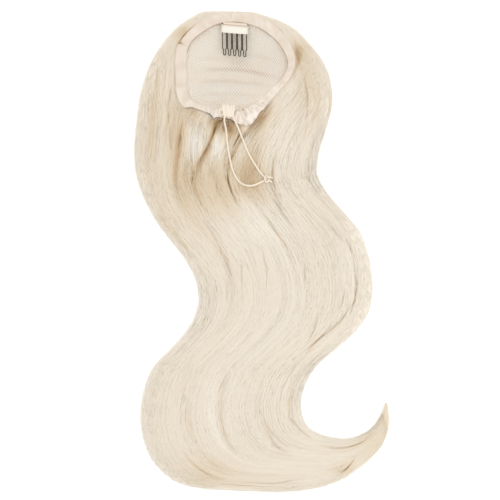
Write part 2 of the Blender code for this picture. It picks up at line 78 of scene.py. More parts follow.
# Each row is a line across the hair, from the crown to the tip of the hook: the places of its left and right
# ends as shares of the hair's width and length, and its height as shares of the cap's and of the tail's.
HAIR_SECTIONS = (
    (0.296, 0.999, 0.462, 0.998, 0.05, 0), (0.256, 0.996, 0.496, 0.994, 0.8, 0),
    (0.175, 0.97, 0.611, 0.97, 0.92, 0), (0.118, 0.938, 0.682, 0.936, 0.98, 0),
    (0.063, 0.892, 0.745, 0.894, 1.04, 0), (0.031, 0.843, 0.775, 0.847, 1.07, 0),
    (0.014, 0.797, 0.776, 0.795, 1.08, 0), (0, 0.714, 0.727, 0.712, 0.58, 0.46),
    (0.014, 0.642, 0.719, 0.65, 0, 1), (0.092, 0.557, 0.807, 0.592, 0, 0.92),
    (0.191, 0.493, 0.9, 0.53, 0, 0.84), (0.257, 0.42, 0.939, 0.433, 0, 0.78),
    (0.233, 0.354, 0.913, 0.362, 0, 0.74), (0.152, 0.302, 0.812, 0.305, 0, 0.72),
    (0.063, 0.251, 0.714, 0.263, 0, 0.7), (0.024, 0.176, 0.655, 0.201, 0, 0.68),
    (0.033, 0.11, 0.662, 0.151, 0, 0.64), (0.086, 0.053, 0.7, 0.126, 0, 0.6),
    (0.196, 0.013, 0.752, 0.114, 0, 0.55), (0.384, 0.003, 0.8, 0.11, 0, 0.5),
    (0.602, -0.001, 0.847, 0.11, 0, 0.45), (0.774, 0.015, 0.894, 0.118, 0, 0.4),
    (0.888, 0.051, 0.933, 0.129, 0, 0.34), (0.968, 0.091, 0.961, 0.148, 0, 0.28),
    (1.003, 0.137, 0.977, 0.167, 0, 0.21), (0.998, 0.182, 0.987, 0.184, 0, 0.12),
)
LAST_LINE = len(HAIR_SECTIONS) - 1

# Each row is a lock that lies on the hair, as in the solids: its first and last section, its places across
# there as shares of the width, the bow of its middle, its width and its rise.
LOCKS = (
    (1.2, 13, 0.1, 0.1, 0, 0.16, 0.8), (1.5, 10.5, 0.84, 0.92, 0.03, 0.15, 0.9),
    (5.6, 15.5, 0.42, 0.24, -0.05, 0.13, 1), (5.8, 14, 0.5, 0.42, -0.02, 0.11, 0.9),
    (6, 12.5, 0.58, 0.66, 0.03, 0.13, 1), (7, 17, 0.76, 0.8, 0.01, 0.15, 0.8),
    (8.5, 15.8, 0.94, 0.93, 0, 0.11, 1), (9.5, 19.5, 0.52, 0.55, 0.03, 0.15, 0.9),
    (11, 21, 0.12, 0.2, 0, 0.16, 0.8), (12.5, 22.5, 0.34, 0.42, 0, 0.14, 0.9),
    (14.5, 23.6, 0.72, 0.62, 0.02, 0.16, 0.9), (16.5, 24.2, 0.88, 0.78, 0, 0.15, 0.7),
)

# The photograph's scale: metres to a pixel across and down, and the pixel at the frame's origin
PIXEL = np.array([0.0011, -0.0010994])
PIXEL_ORIGIN = np.array([261.5, 251.5])

# Each row is a crease between locks, or a lock that stands proud where the depth is negative: its half width
# and depth, how tan it is or, below zero, how pale, and its middle line's points in the photograph's pixels.
# The tan of these creases is mostly painted shade, and the paleness of the proud locks is a painted
# highlight.
CREASES = (
    (0.0034, 0.0013, 1.1, (219, 116), (216, 126), (213, 136), (208.5, 147), (201, 160), (195.5, 171),
     (192, 181), (191, 190)),
    (0.0014, 0.00096, 0.66, (193, 187), (198, 197), (206, 208)),
    (0.003, 0.00036, 0.5, (188, 165), (184, 178), (184, 194)),
    (0.003, 0.0009, 0.52, (182, 116), (180, 135), (178, 154), (175, 182), (178, 205)),
    (0.0009, 0.0014, 1, (240, 131), (239, 136), (236, 142), (232, 151)),
    (0.0018, 0.00156, 0.61, (258, 119), (246, 134), (236, 148), (229, 163), (227, 180)),
    (0.0012, 0.0012, 0.66, (226, 150), (225, 168), (229, 187), (236, 204)),
    (0.0016, 0.00108, 0.5, (276, 148), (273, 165), (272, 182), (277, 203), (288, 222)),
    (0.0008, 0.00072, 0.66, (303, 84), (305, 98), (306, 121), (303, 140)),
    (0.0026, 0.00072, 0.55, (317, 84), (318, 98), (317, 112), (313, 128)),
    (0.0008, 0.00108, 0.99, (318, 205), (325, 217), (342, 236), (353, 255), (356, 273), (355, 301),
     (347, 315), (328, 331), (310, 347), (301, 360), (296, 378), (298, 398)),
    (0.0008, 0.00084, 0.77, (262, 212), (267, 220), (278, 236), (288, 250), (292, 260)),
    (0.0018, 0.0006, 0.44, (217, 233), (226, 257), (229, 279), (227, 298)),
    (0.0009, 0.00054, 0.44, (244, 247), (249, 260), (245, 282), (242, 301)),
    (0.0014, 0.00072, 0.61, (171, 96), (170, 112), (168, 126), (168, 145)),
    (0.0018, 0.00072, 0.39, (157, 210), (168, 228), (183, 244), (193, 262)),
    (0.0018, 0.0006, 0.39, (189, 359), (184, 392), (187, 421), (195, 443)),
    (0.002, 0.00072, 0.44, (224, 371), (220, 397), (223, 430), (233, 452)),
    (0.0016, 0.00066, 0.39, (257, 390), (259, 412), (273, 442), (290, 459)),
    (0.0013, 0.00078, 0.55, (292, 378), (289, 409), (297, 424)),
    (0.0008, 0.0005, 0.3, (319, 445), (342, 448), (362, 443), (374, 433)),
    (0.0016, 0.0012, 0.8, (355, 457), (349, 463), (343, 469)),
    (0.0014, 0.0006, 0.55, (182, 452), (197, 468), (217, 479), (236, 484)),
    (0.0009, 0.00048, 0.5, (210, 462), (225, 474), (245, 482)),
    (0.002, 0.00048, 0.28, (160, 75), (155, 100), (152, 130), (153, 160)),
    (0.0022, 0.00108, 0.88, (297, 46), (299, 56), (297, 68)),
    (0.0012, 0.001, 1.75, (260, 108), (264, 110), (267, 113), (267, 119)),
    (0.0006, 0.00048, 1.65, (212, 121), (219, 120.5), (227, 120)),
    (0.0006, 0.00048, 1.65, (227, 119.5), (232, 120.5), (237, 124)),
    (0.0006, 0.00036, 0.99, (209, 124), (217, 123), (225, 122.5)),
    (0.0009, 0.00084, 1.54, (176, 46), (182, 39), (189, 31), (198, 25)),
    (0.004, 0.00024, 0.39, (229, 126), (232, 134), (230, 143)),
    (0.0056, -0.00154, -0.2, (199, 127), (194, 142), (186, 161)),
    (0.004, -0.0014, -0.1, (220, 133), (217, 146), (210, 162)),
    (0.006, -0.00084, -0.3, (252, 133), (241, 152), (234, 172)),
    (0.005, -0.00168, 0.75, (260, 123), (262, 115)),
    (0.006, -0.0007, 0.55, (186, 113), (193, 112), (200, 116)),
    (0.009, -0.00035, -0.3, (240, 200), (252, 215), (262, 232)),
    (0.004, -0.00042, -0.35, (213, 370), (209, 396), (214, 428), (228, 455)),
)

# Each row is a few strands that stand out in the photograph: their radius, how much lower their tone is than
# that of the hair round them, and the points of their line in pixels.
# Most of these lines run along gaps between locks, where their lower tone is painted shade; the rest are
# darker strands of the hair's own.
LINES = (
    (0.00026, 0.34, (318, 207), (323, 218), (334, 231), (343, 240), (351, 249), (356, 264), (357.5, 277),
     (357, 286), (354, 301), (346, 313), (334, 327), (318, 340), (305, 354), (297, 363), (292, 374),
     (290, 392)),
    (0.00026, 0.26, (254, 206), (266, 217), (276, 231), (285, 244), (291, 254), (294, 262), (295, 276)),
    (0.00022, 0.16, (204, 221), (211, 231), (219, 244), (225, 261), (228, 274), (228, 295)),
    (0.0002, 0.18, (241, 255), (242, 274), (242, 298)),
    (0.0002, 0.16, (260, 238), (264, 258), (267, 275), (265, 300)),
    (0.0002, 0.16, (304, 260), (305, 275), (304, 290)),
    (0.00022, 0.2, (345, 284), (343, 300), (338, 314)),
    (0.0002, 0.16, (319, 309), (315, 327), (306, 346)),
    (0.00022, 0.16, (190, 360), (186, 378), (184.5, 404)),
    (0.00026, 0.36, (314, 444), (327, 448), (336, 449), (346, 448.5), (355, 446), (362, 443), (369, 437),
     (376, 430)),
    (0.00024, 0.3, (287, 408), (289, 417), (292, 421), (296, 425), (304, 433), (313, 441)),
    (0.00032, 0.38, (356, 456), (353, 462), (348, 468), (342, 473), (333, 478)),
    (0.00022, 0.14, (259, 406), (264, 418), (269, 429), (278, 439), (288, 447), (306, 454)),
    (0.0002, 0.14, (236, 482), (264, 483.5), (279, 483.5), (293, 480.5), (308, 477)),
    (0.00022, 0.24, (171, 86), (170.5, 94), (169, 112)),
    (0.0002, 0.16, (149.5, 88), (148.5, 104), (148, 120)),
    (0.0002, 0.14, (159, 60), (157, 76), (156, 92)),
    (0.0002, 0.06, (181, 127), (180, 138), (178, 150)),
    (0.00032, 0.42, (218, 119), (216, 127), (213.5, 135), (210, 144)),
    (0.00022, 0.06, (215, 125), (212.5, 137), (208, 147), (201, 159), (195, 171), (192, 181), (191, 194)),
    (0.00024, 0.2, (226.5, 152), (226, 165), (227.5, 178), (231, 189), (240, 208)),
    (0.00028, 0.4, (242, 128), (240, 136), (235.5, 142.5), (232, 152)),
    (0.0002, 0.14, (275, 146), (273.5, 165), (272.5, 178), (277, 193), (290, 210)),
    (0.00024, 0.26, (304, 76), (306, 89), (307.5, 103), (306, 122)),
    (0.0002, 0.14, (328, 84), (330, 104), (326, 126)),
)

# Soft folds of the net, in the same columns: their tan is partly painted shade in the folds and partly the
# hair's wefts showing through; the net is also tanned with painted shade under the casing's edge, paled with
# painted highlights on the folds' crests, and paled with painted light under the comb, where its wires shade
# the net.
NET_CREASES = (
    (0.0026, 0.0012, 0.45, (203, 70), (225, 69), (244, 70), (262, 74), (281, 79)),
    (0.0022, 0.0007, 0.25, (195, 83), (215, 81), (240, 82), (262, 85), (276, 89)),
    (0.0022, 0.0006, 0.25, (197, 96), (220, 94), (245, 95), (263, 96)),
    (0.002, 0.0004, 0.18, (191, 60), (208, 58), (226, 60)),
    (0.0024, 0.0005, 0.22, (250, 55), (266, 58), (283, 63)),
    (0.0065, -0.0004, 0.4, (233, 61), (246, 63)),
    (0.003, 0.0002, 0.45, (277, 46), (284, 54), (286, 66), (282, 75)),
    (0.003, 0.0002, 0.3, (193, 45), (203, 34), (214, 29)),
    (0.0032, 0.0002, 0.35, (199, 101), (216, 105), (240, 108), (254, 105), (262, 98)),
    (0.003, -0.0006, -0.2, (200, 75), (225, 75), (255, 79)),
    (0.003, -0.0005, -0.2, (200, 89), (228, 88), (262, 91)),
    (0.013, -0.0001, -0.8, (228, 38), (241, 40)),
)

# Each row is a place where the hair is tanner (a positive share) or paler: its middle, reach and share
PALE_TONE = 0.62
TONE_AND_LIGHT_STRENGTH = 0.40
# How strongly the creases' painted shade and painted highlights change the hair's tone
CREASE_SHADE_STRENGTH = 0.42
# The tan rows are partly the hair's own tanner roots by the cap and partly painted shade under the casing,
# the drawstring and the knot and at the tip; the pale rows are painted highlights on the raised locks.
TONE_AND_LIGHT_PATCHES = (
    (-0.05, 0.072, 0.026, 0.036, 0.7), (-0.014, 0.083, 0.02, 0.036, 0.95),
    (-0.082, 0.085, 0.018, 0.05, 0.5), (-0.035, 0.137, 0.013, 0.012, 1.05),
    (-0.052, 0.14, 0.012, 0.008, 0.45), (0.004, 0.148, 0.012, 0.014, 0.55),
    (-0.092, 0.128, 0.012, 0.026, 0.5), (-0.124, 0.135, 0.016, 0.06, 0.32),
    (-0.118, 0.235, 0.022, 0.03, 0.25), (-0.105, 0.19, 0.018, 0.045, 0.1),
    (-0.112, 0.045, 0.02, 0.045, 0.15), (0.052, 0.2, 0.018, 0.045, 0.32),
    (0.046, 0.228, 0.012, 0.012, 0.35), (-0.087, 0.24, 0.009, 0.009, 0.8), (0.041, 0.219, 0.006, 0.01, 0.6),
    (-0.073, 0.115, 0.0085, 0.015, -1.2), (-0.049, 0.116, 0.0055, 0.011, -1.35),
    (-0.078, 0.148, 0.012, 0.008, 0.2), (0.02, 0.11, 0.018, 0.03, -0.3),
    (-0.062, -0.243, 0.034, 0.018, 0.38), (-0.01, -0.256, 0.04, 0.009, 0.25),
    (0.091, -0.24, 0.011, 0.006, 0.6), (0.1375, -0.182, 0.006, 0.018, 0.28),
    (0.122, -0.21, 0.018, 0.03, 0.35), (0.02, -0.06, 0.07, 0.06, -0.1), (0, 0.025, 0.04, 0.022, -0.35),
    (0.1, -0.01, 0.014, 0.05, -0.35), (-0.03, -0.17, 0.05, 0.04, -0.15),
)

# Each row is a point of the casing's middle line, clockwise from the crown: its place as shares of the cap's
# width and length from the cap's middle, its share of the casing's width, and how ruffled it is.
RIM = (
    (-0.038, 0.499, 0.9, 0), (0.153, 0.47, 1, 0), (0.309, 0.38, 0.95, 0), (0.437, 0.235, 0.85, 0),
    (0.499, 0.07, 0.7, 0), (0.476, -0.065, 0.62, 0.1), (0.37, -0.22, 0.66, 0.3), (0.248, -0.36, 0.78, 0.6),
    (0.09, -0.48, 1.1, 1), (-0.075, -0.5, 1, 1), (-0.248, -0.458, 0.9, 0.6), (-0.413, -0.386, 0.9, 0.1),
    (-0.486, -0.275, 1, 0), (-0.5, -0.085, 0.95, 0), (-0.495, 0.125, 0.95, 0), (-0.449, 0.265, 0.85, 0),
    (-0.34, 0.38, 0.9, 0), (-0.203, 0.465, 0.92, 0),
)

# The routes of the drawstring's two legs, from the rim knot to the end knot, as in the solids
LEFT_ROUTE = (
    (-0.0398, 0.1478, 0.0416), (-0.0405, 0.1458, 0.0415), (-0.0406, 0.1422, 0.0408),
    (-0.0398, 0.1378, 0.0387), (-0.0388, 0.1332, 0.0369), (-0.0381, 0.1265, 0.0364),
    (-0.0374, 0.1193, 0.0364), (-0.0364, 0.1120, 0.0361), (-0.0352, 0.1050, 0.0355),
    (-0.0337, 0.0972, 0.0348), (-0.0317, 0.0896, 0.0342), (-0.0287, 0.0827, 0.0336),
    (-0.0241, 0.0764, 0.0331), (-0.0184, 0.0729, 0.0335), (-0.0123, 0.0720, 0.0347),
    (-0.0082, 0.0727, 0.0349), (-0.0044, 0.0742, 0.0348), (-0.0008, 0.0759, 0.0340),
    (0.0023, 0.0775, 0.0333),
)
RIGHT_ROUTE = (
    (-0.0336, 0.1505, 0.0416), (-0.0323, 0.1490, 0.0416), (-0.0306, 0.1462, 0.0414),
    (-0.0288, 0.1423, 0.0406), (-0.0267, 0.1378, 0.0385), (-0.0244, 0.1325, 0.0366),
    (-0.0226, 0.1281, 0.0361), (-0.0200, 0.1213, 0.0360), (-0.0173, 0.1146, 0.0359),
    (-0.0140, 0.1072, 0.0359), (-0.0101, 0.1000, 0.0351), (-0.0063, 0.0941, 0.0341),
    (-0.0029, 0.0889, 0.0334), (0.0003, 0.0847, 0.0330), (0.0030, 0.0815, 0.0329),
)


# Numbers, curves and noise


def spline(rows, places, closed=False):
    """The values at places, counted in rows, on a smooth curve through all the rows."""
    rows = np.asarray(rows, float)
    places = np.atleast_1d(np.asarray(places, float))
    count = len(rows)
    if closed:
        first = np.floor(places).astype(int)
        around = [rows[(first + k) % count] for k in (-1, 0, 1, 2)]
    else:
        first = np.clip(np.floor(places).astype(int), 0, count - 2)
        longer = np.vstack([2 * rows[0] - rows[1], rows, 2 * rows[-1] - rows[-2]])
        around = [longer[first + k] for k in (0, 1, 2, 3)]
    p0, p1, p2, p3 = around
    share = (places - first)[:, None]
    turn = 2 * p0 - 5 * p1 + 4 * p2 - p3
    twist = 3 * (p1 - p2) + p3 - p0
    return 0.5 * (2 * p1 + (p2 - p0) * share + turn * share**2 + twist * share**3)


def run_of(points):
    """The distance along a line of points, from its start."""
    return np.concatenate([[0], np.cumsum(np.linalg.norm(np.diff(points, axis=0), axis=1))])


def even_places(rows, count, closed=False, fine=40):
    """Places on the smooth curve through the rows that lie equally far apart along it."""
    spans = len(rows) if closed else len(rows) - 1
    places = np.linspace(0, spans, spans * fine + 1)
    run = run_of(spline(rows, places, closed)[:, :3])
    return np.interp(np.linspace(0, run[-1], count, endpoint=not closed), run, places)


def ease(share):
    share = np.clip(share, 0, 1)
    return share * share * (3 - 2 * share)


def bell(away, reach, power=2):
    return np.exp(-((away / reach) ** power))


NOISE_CELLS = 64
lattices = {}


def blend(grid, i, j, u, v):
    """A grid's values at shares u and v of the way between its rows i and its columns j."""
    near = grid[i[0], j[0]] * (1 - u) + grid[i[1], j[0]] * u
    far = grid[i[0], j[1]] * (1 - u) + grid[i[1], j[1]] * u
    return near * (1 - v) + far * v


def noise(u, v, seed):
    """Smooth noise from -1 to 1 over a plane, one cell to each unit."""
    if seed not in lattices:
        lattices[seed] = np.random.default_rng(seed).uniform(-1, 1, (NOISE_CELLS, NOISE_CELLS))
    u, v = np.broadcast_arrays(np.asarray(u, float), np.asarray(v, float))
    i, j = np.floor(u).astype(int), np.floor(v).astype(int)
    around_i, around_j = ((k % NOISE_CELLS, (k + 1) % NOISE_CELLS) for k in (i, j))
    return blend(lattices[seed], around_i, around_j, ease(u - i), ease(v - j))


def unit(vectors):
    return vectors / np.maximum(np.linalg.norm(vectors, axis=-1, keepdims=True), 1e-12)


# Meshes


def add_object(name, data):
    made = bpy.data.objects.new(name, data)
    bpy.context.scene.collection.objects.link(made)
    return made


def add_mesh(name, points, faces, finish, **values):
    """A mesh piece from points and arrays of faces; values are named numbers or vectors at its points."""
    mesh = bpy.data.meshes.new(name)
    mesh.vertices.add(len(points))
    mesh.vertices.foreach_set("co", np.asarray(points, np.float32).ravel())
    faces = [np.asarray(f, np.int32) for f in faces]
    corners = np.concatenate([f.ravel() for f in faces])
    sizes = np.concatenate([np.full(len(f), f.shape[1]) for f in faces])
    mesh.loops.add(len(corners))
    mesh.loops.foreach_set("vertex_index", corners)
    mesh.polygons.add(len(sizes))
    mesh.polygons.foreach_set("loop_start", np.cumsum(sizes) - sizes)
    mesh.polygons.foreach_set("use_smooth", np.full(len(sizes), True))
    for key, value in values.items():
        kind, field = ("FLOAT", "value") if value.ndim == 1 else ("FLOAT_VECTOR", "vector")
        data = mesh.attributes.new(key, kind, "POINT").data
        data.foreach_set(field, np.asarray(value, np.float32).ravel())
    mesh.update(calc_edges=True)
    mesh.validate()
    mesh.materials.append(finish.material)
    return add_object(name, mesh)


def place_piece(made, slot, *nodes):
    """Rides on the part's one body and stands for its solids; the slot is not used."""
    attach(made, "root")
    if nodes:
        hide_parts(*nodes)
    return made


def grid_faces(rows, columns, closed=False):
    """Four-cornered faces between closed rings of equally many points."""
    i = np.arange(rows if closed else rows - 1)[:, None]
    j = np.arange(columns)
    here, there = i * columns, (i + 1) % rows * columns
    k = (j + 1) % columns
    return np.stack([here + j, here + k, there + k, there + j], axis=-1).reshape(-1, 4)


def end_faces(rows, columns):
    """The faces that close the first and the last ring."""
    ring = np.arange(columns)
    return np.array([ring[::-1], (rows - 1) * columns + ring])


def ring_mesh(name, rings, along, across, finish, closed=False, **values):
    """A closed form from rings of points; the finish's threads follow its places along and across."""
    rows, columns = rings.shape[:2]
    flow = np.zeros(rings.shape)
    flow[..., 0] = along
    flow[..., 1] = across
    faces = [grid_faces(rows, columns, closed)] + ([] if closed else [end_faces(rows, columns)])
    return add_mesh(name, rings.reshape(-1, 3), faces, finish, flow=flow.reshape(-1, 3), **values)


STRAND_FLATNESS = 0.45
UP = (0, 0, 1)


def tube_mesh(name, points, counts, radius, up, finish, sides=3, flat=STRAND_FLATNESS, **values):
    """Many closed tubes in one mesh; counts says how many of the points each one has."""
    last = np.cumsum(counts) - 1
    first = last - counts + 1
    tube = np.repeat(np.arange(len(counts)), counts)
    index = np.arange(len(points))
    along = unit(points[np.minimum(index + 1, last[tube])] - points[np.maximum(index - 1, first[tube])])
    side = unit(np.cross(along, up))
    rise = np.cross(side, along)
    turn = (tau * (np.arange(sides) + 0.25 * sides) / sides)[None, :, None]
    ring = np.cos(turn) * side[:, None] + flat * np.sin(turn) * rise[:, None]
    ring = points[:, None] + radius[:, None, None] * ring
    here = index[index != last[tube]][:, None] * sides
    corner = np.arange(sides)
    beside = (corner + 1) % sides
    walls = np.stack([here + corner + sides, here + beside + sides, here + beside, here + corner], axis=-1)
    caps = np.concatenate([first[:, None] * sides + corner, last[:, None] * sides + corner[::-1]])
    values = {key: np.repeat(value, sides, axis=0) for key, value in values.items()}
    return add_mesh(name, ring.reshape(-1, 3), [walls.reshape(-1, 4), caps], finish, **values)


# Finishes


class Finish:
    """A material and its nodes; a source is a node with the name or number of one of its outputs."""

    def __init__(self, name, **inputs):
        self.material = bpy.data.materials.new(name)
        self.material.use_nodes = True
        self.tree = self.material.node_tree
        self.shader = self.tree.nodes["Principled BSDF"]
        self.feed(self.shader, inputs)

    def feed(self, node, inputs):
        for key, value in inputs.items():
            socket = node.inputs[key.replace("_", " ") if isinstance(key, str) else key]
            if isinstance(value, tuple) and isinstance(value[0], bpy.types.Node):
                self.tree.links.new(value[0].outputs[value[1]], socket)
            else:
                socket.default_value = value

    def node(self, kind, output, **inputs):
        made = self.tree.nodes.new("ShaderNode" + kind)
        self.feed(made, inputs)
        return made, output

    def attribute(self, name, output="Fac"):
        made, _ = self.node("Attribute", output)
        made.attribute_name = name
        return made, output

    def noise(self, vector, scale, detail, roughness):
        return self.node("TexNoise", "Fac", Vector=vector, Scale=scale, Detail=detail, Roughness=roughness)

    def math(self, operation, *values):
        made, _ = self.node("Math", 0)
        made.operation = operation
        self.feed(made, dict(enumerate(values)))
        return made, 0

    def spread(self, source, width, middle=0.0):
        """A source from 0 to 1 as a difference from a middle value."""
        return self.math("MULTIPLY_ADD", source, width, middle - width / 2)

    def colours(self, source, stops):
        """Colours the finish by a source; each stop is a place and a red, green and blue from 0 to 255."""
        made, _ = self.node("ValToRGB", 0, Fac=source)
        elements = made.color_ramp.elements
        while len(elements) < len(stops):
            elements.new(0.5)
        for element, (place, *colour) in zip(elements, stops):
            element.position = place
            element.color = linear(*colour)
        self.feed(self.shader, {"Base Color": (made, "Color")})

    def bump(self, height, strength, distance, **inputs):
        """Makes the finish uneven, on top of any other unevenness given as its Normal."""
        made = self.node("Bump", "Normal", Height=height, Strength=strength, Distance=distance, **inputs)
        self.feed(self.shader, {"Normal": made})
        return made


def linear(red, green, blue):
    """A colour from 0 to 255, as light."""
    return tuple((c / 255) ** 2.2 for c in (red, green, blue)) + (1.0,)


HAIR_COLOURS = (
    (0.00, 146, 119, 80),
    (0.14, 198, 166, 128),
    (0.34, 226, 207, 179),
    (0.62, 240, 230, 214),
    (1.00, 252, 246, 236),
)


def hair_finish(name, streak_depth):
    """Platinum hair: tan where the tone is low, pale where it is high, with fine streaks along the flow."""
    finish = Finish(name, Roughness=0.42, Specular_IOR_Level=0.45)
    flow = finish.attribute("flow", "Vector")
    fine = finish.noise(finish.node("Mapping", 0, Vector=flow, Scale=(2400.0, 14.0, 1.0)), 1.0, 3.0, 0.6)
    wide = finish.noise(finish.node("Mapping", 0, Vector=flow, Scale=(420.0, 5.0, 1.0)), 1.0, 2.0, 0.5)
    streaks = finish.math("ADD", finish.spread(fine, 0.22), finish.spread(wide, 0.22))
    finish.colours(finish.math("ADD", finish.attribute("tone"), streaks), HAIR_COLOURS)
    finish.feed(finish.shader, {"Roughness": finish.spread(fine, 0.16, 0.42)})
    finish.bump(fine, 0.35, streak_depth)
    return finish


# The form of the hair


UNDER_PLACES = 12


def profile_table():
    """The outline of a section, by its distance round: place across, and share of the height there."""
    across = np.linspace(0, 1, 1201)
    side = np.abs(2 * across - 1)
    full = np.sqrt(np.maximum(0, 1 - side**EDGE_FULLNESS))
    height = EDGE_HEIGHT + (1 - EDGE_HEIGHT) * full
    turn = np.linspace(0, pi / 2, UNDER_PLACES, endpoint=False)
    under_across = UNDERSIDE_INSET * (1 - np.sin(turn))
    under_height = EDGE_HEIGHT * (1 - np.cos(turn))
    across = np.concatenate([under_across, across, 1 - under_across[::-1]])
    height = np.concatenate([under_height, height, under_height[::-1]])
    usual_width = 0.62 * HAIR_WIDTH
    run = run_of(np.stack([across * usual_width, height * TAIL_THICKNESS], axis=1))
    return run / run[-1], across, height


PROFILE = profile_table()

# How much further in than the solid the tail's own edge lies, which leaves room for loose strands
STRAND_ROOM = 0.0002


def around(place):
    """The place across and the share of the height at a place round the section, from 0 to 1."""
    place = np.clip(place, 0, 1)
    return np.interp(place, PROFILE[0], PROFILE[1]), np.interp(place, PROFILE[0], PROFILE[2])


def place_round(across):
    """The place round the section of a place across its top."""
    top = slice(UNDER_PLACES, -UNDER_PLACES)
    return np.interp(across, PROFILE[1][top], PROFILE[0][top])


def hair_lines(line):
    """The left and right ends of lines across the hair, and the height there."""
    rows = spline(HAIR_SECTIONS, np.clip(line, 0, LAST_LINE - 1e-9))
    left = (rows[:, 0:2] - 0.5) * (HAIR_WIDTH, HAIR_LENGTH)
    right = (rows[:, 2:4] - 0.5) * (HAIR_WIDTH, HAIR_LENGTH)
    inset = unit(right - left) * (STRAND_ROOM * ease((np.asarray(line) - 6.5) / 2))[:, None]
    left, right = left + inset, right - inset
    return left, right, rows[:, 4] * RIM_HEIGHT + rows[:, 5] * TAIL_THICKNESS


def lock_relief(across, line):
    """How far the locks stand above the smooth hair."""
    total = np.zeros(len(across))
    for start, end, from_left, to_left, bow, width, rise in LOCKS:
        share = (line - start) / (end - start)
        inside = (share > 0) & (share < 1)
        share = np.clip(share, 0, 1)
        arch = np.sin(pi * share)
        taper = arch**0.6
        away = across - (from_left + (to_left - from_left) * ease(share) + bow * arch)
        away = away / (width / 2 * np.maximum(0.2, taper) + 0.01)
        bulge = np.maximum(0, 1 - away**2) ** 0.8
        total += inside * 0.36 * LOCK_HEIGHT * rise * taper * bulge
    return total


def from_photo(pixels):
    """Points of the plan at the photograph's pixels."""
    return (np.reshape(pixels, (-1, 2)) - PIXEL_ORIGIN) * PIXEL


FIELD_STEP = 0.0005
FIELD_ORIGIN = np.array([HAIR_LOW.x, HAIR_LOW.y]) - 0.005


def crease_fields(creases):
    """Grids over the plan: how far creases raise or sink a surface, and how much tanner or paler they make
    it, mostly as painted shade and painted highlight.
    """
    size = (np.array([HAIR_WIDTH, HAIR_LENGTH]) + 0.01) / FIELD_STEP
    raised, sunk, pale, tan = (np.zeros(size.astype(int) + 1) for _ in range(4))
    for half_width, depth, tan_share, *pixels in creases:
        line = from_photo(pixels)
        count = max(8, int(run_of(line)[-1] / 0.0008))
        middle = spline(line, even_places(line, count))
        taper = np.sin(pi * (np.arange(count) + 0.5) / count) ** 0.5
        reach = int(3 * half_width / FIELD_STEP)
        for (x, y), share in zip((middle - FIELD_ORIGIN) / FIELD_STEP, taper):
            part = tuple(slice(max(0, int(c) - reach), int(c) + reach + 1) for c in (x, y))
            rows, columns = sunk[part].shape
            u = (part[0].start + np.arange(rows) - x)[:, None]
            v = (part[1].start + np.arange(columns) - y)[None]
            near = share * np.exp(-(u * u + v * v) * (FIELD_STEP / half_width) ** 2)
            for value, above, below in ((depth, sunk, raised), (tan_share, tan, pale)):
                field = above if value > 0 else below
                field[part] = np.maximum(field[part], abs(value) * near)
    return raised - sunk, tan - pale


CREASE_RISE, CREASE_SHADE_AND_HIGHLIGHT = crease_fields(CREASES)
NET_RISE, NET_SHADE_AND_TONE = crease_fields(NET_CREASES)

# Painted shade: the steep sides of creases are made tanner, as light that falls between locks comes back
# warmer
STEEP_SHADE = 0.30
CREASE_SHADE_AND_HIGHLIGHT += STEEP_SHADE * np.minimum(np.hypot(*np.gradient(CREASE_RISE, FIELD_STEP)), 1.2)


def sample(field, points):
    """A grid's values at points of the plan."""
    places = np.clip((points[:, :2] - FIELD_ORIGIN) / FIELD_STEP, 0, np.array(field.shape) - 1.001)
    i, j = places.astype(int).T
    return blend(field, (i, i + 1), (j, j + 1), *(places - np.floor(places)).T)


def hair_surface(place, line):
    """Points of the hair's surface at places round its sections."""
    across, share = around(place)
    left, right, height = hair_lines(line)
    flat = left + (right - left) * across[:, None]
    thin = np.clip(height / TAIL_THICKNESS, 0, 1)
    top = ease((share - 0.35) / 0.4)
    wisps = 0.0004 * noise(place * 9, line * 0.12, 1) + 0.00008 * noise(place * 36, line * 0.15, 2)
    relief = (lock_relief(across, line) + wisps) * thin + sample(CREASE_RISE, flat)
    layers = 0.0005 * noise(place * 75, line * 0.1, 3) + 0.0003 * noise(place * 190, line * 0.15, 4)
    sideways = unit(right - left) * np.where(place < 0.5, -1, 1)[:, None]
    flat = flat + sideways * ((layers - 0.0004) * thin * (1 - top))[:, None]
    z = share * height + relief * top
    return np.column_stack([flat, np.maximum(z, 0.0004)])


def hair_outward(place, line):
    """The way out of the hair's surface."""
    low, high = np.clip(place - 0.004, 0, 1), np.clip(place + 0.004, 0, 1)
    across = hair_surface(high, line) - hair_surface(low, line)
    before, after = np.clip(line - 0.05, 0, LAST_LINE - 1e-6), np.clip(line + 0.05, 0, LAST_LINE - 1e-6)
    along = hair_surface(place, after) - hair_surface(place, before)
    return unit(np.cross(along, across))


# The form of the cap


Rim = namedtuple("Rim", "middle outward width gather run")


def rim_height(y):
    return RIM_HEIGHT - CAP_TILT * (y - CAP_Y) / CAP_LENGTH


CAP_MIDDLE = np.array([CAP_X, CAP_Y])
RIM_ROWS = [(x * CAP_WIDTH, y * CAP_LENGTH, 0, width * CASING_WIDTH, gather) for x, y, width, gather in RIM]


def rim_at(places):
    """The casing's middle line, its way out, its width and its gather at places counted in rows."""
    here, ahead = (spline(RIM_ROWS, places + step, closed=True) for step in (0, 0.01))
    along = unit(ahead[:, :2] - here[:, :2])
    return CAP_MIDDLE + here[:, :2], np.column_stack([-along[:, 1], along[:, 0]]), here[:, 3], here[:, 4]


def rim_stations(count):
    """Stations equally far apart along the casing's middle line, clockwise from the crown."""
    middle, outward, width, gather = rim_at(even_places(RIM_ROWS, count, closed=True))
    middle = np.column_stack([middle, rim_height(middle[:, 1])])
    outward = np.column_stack([outward, np.zeros(count)])
    return Rim(middle, outward, width, np.clip(gather, 0, 1), run_of(middle))


RIM_FINE = rim_stations(720)

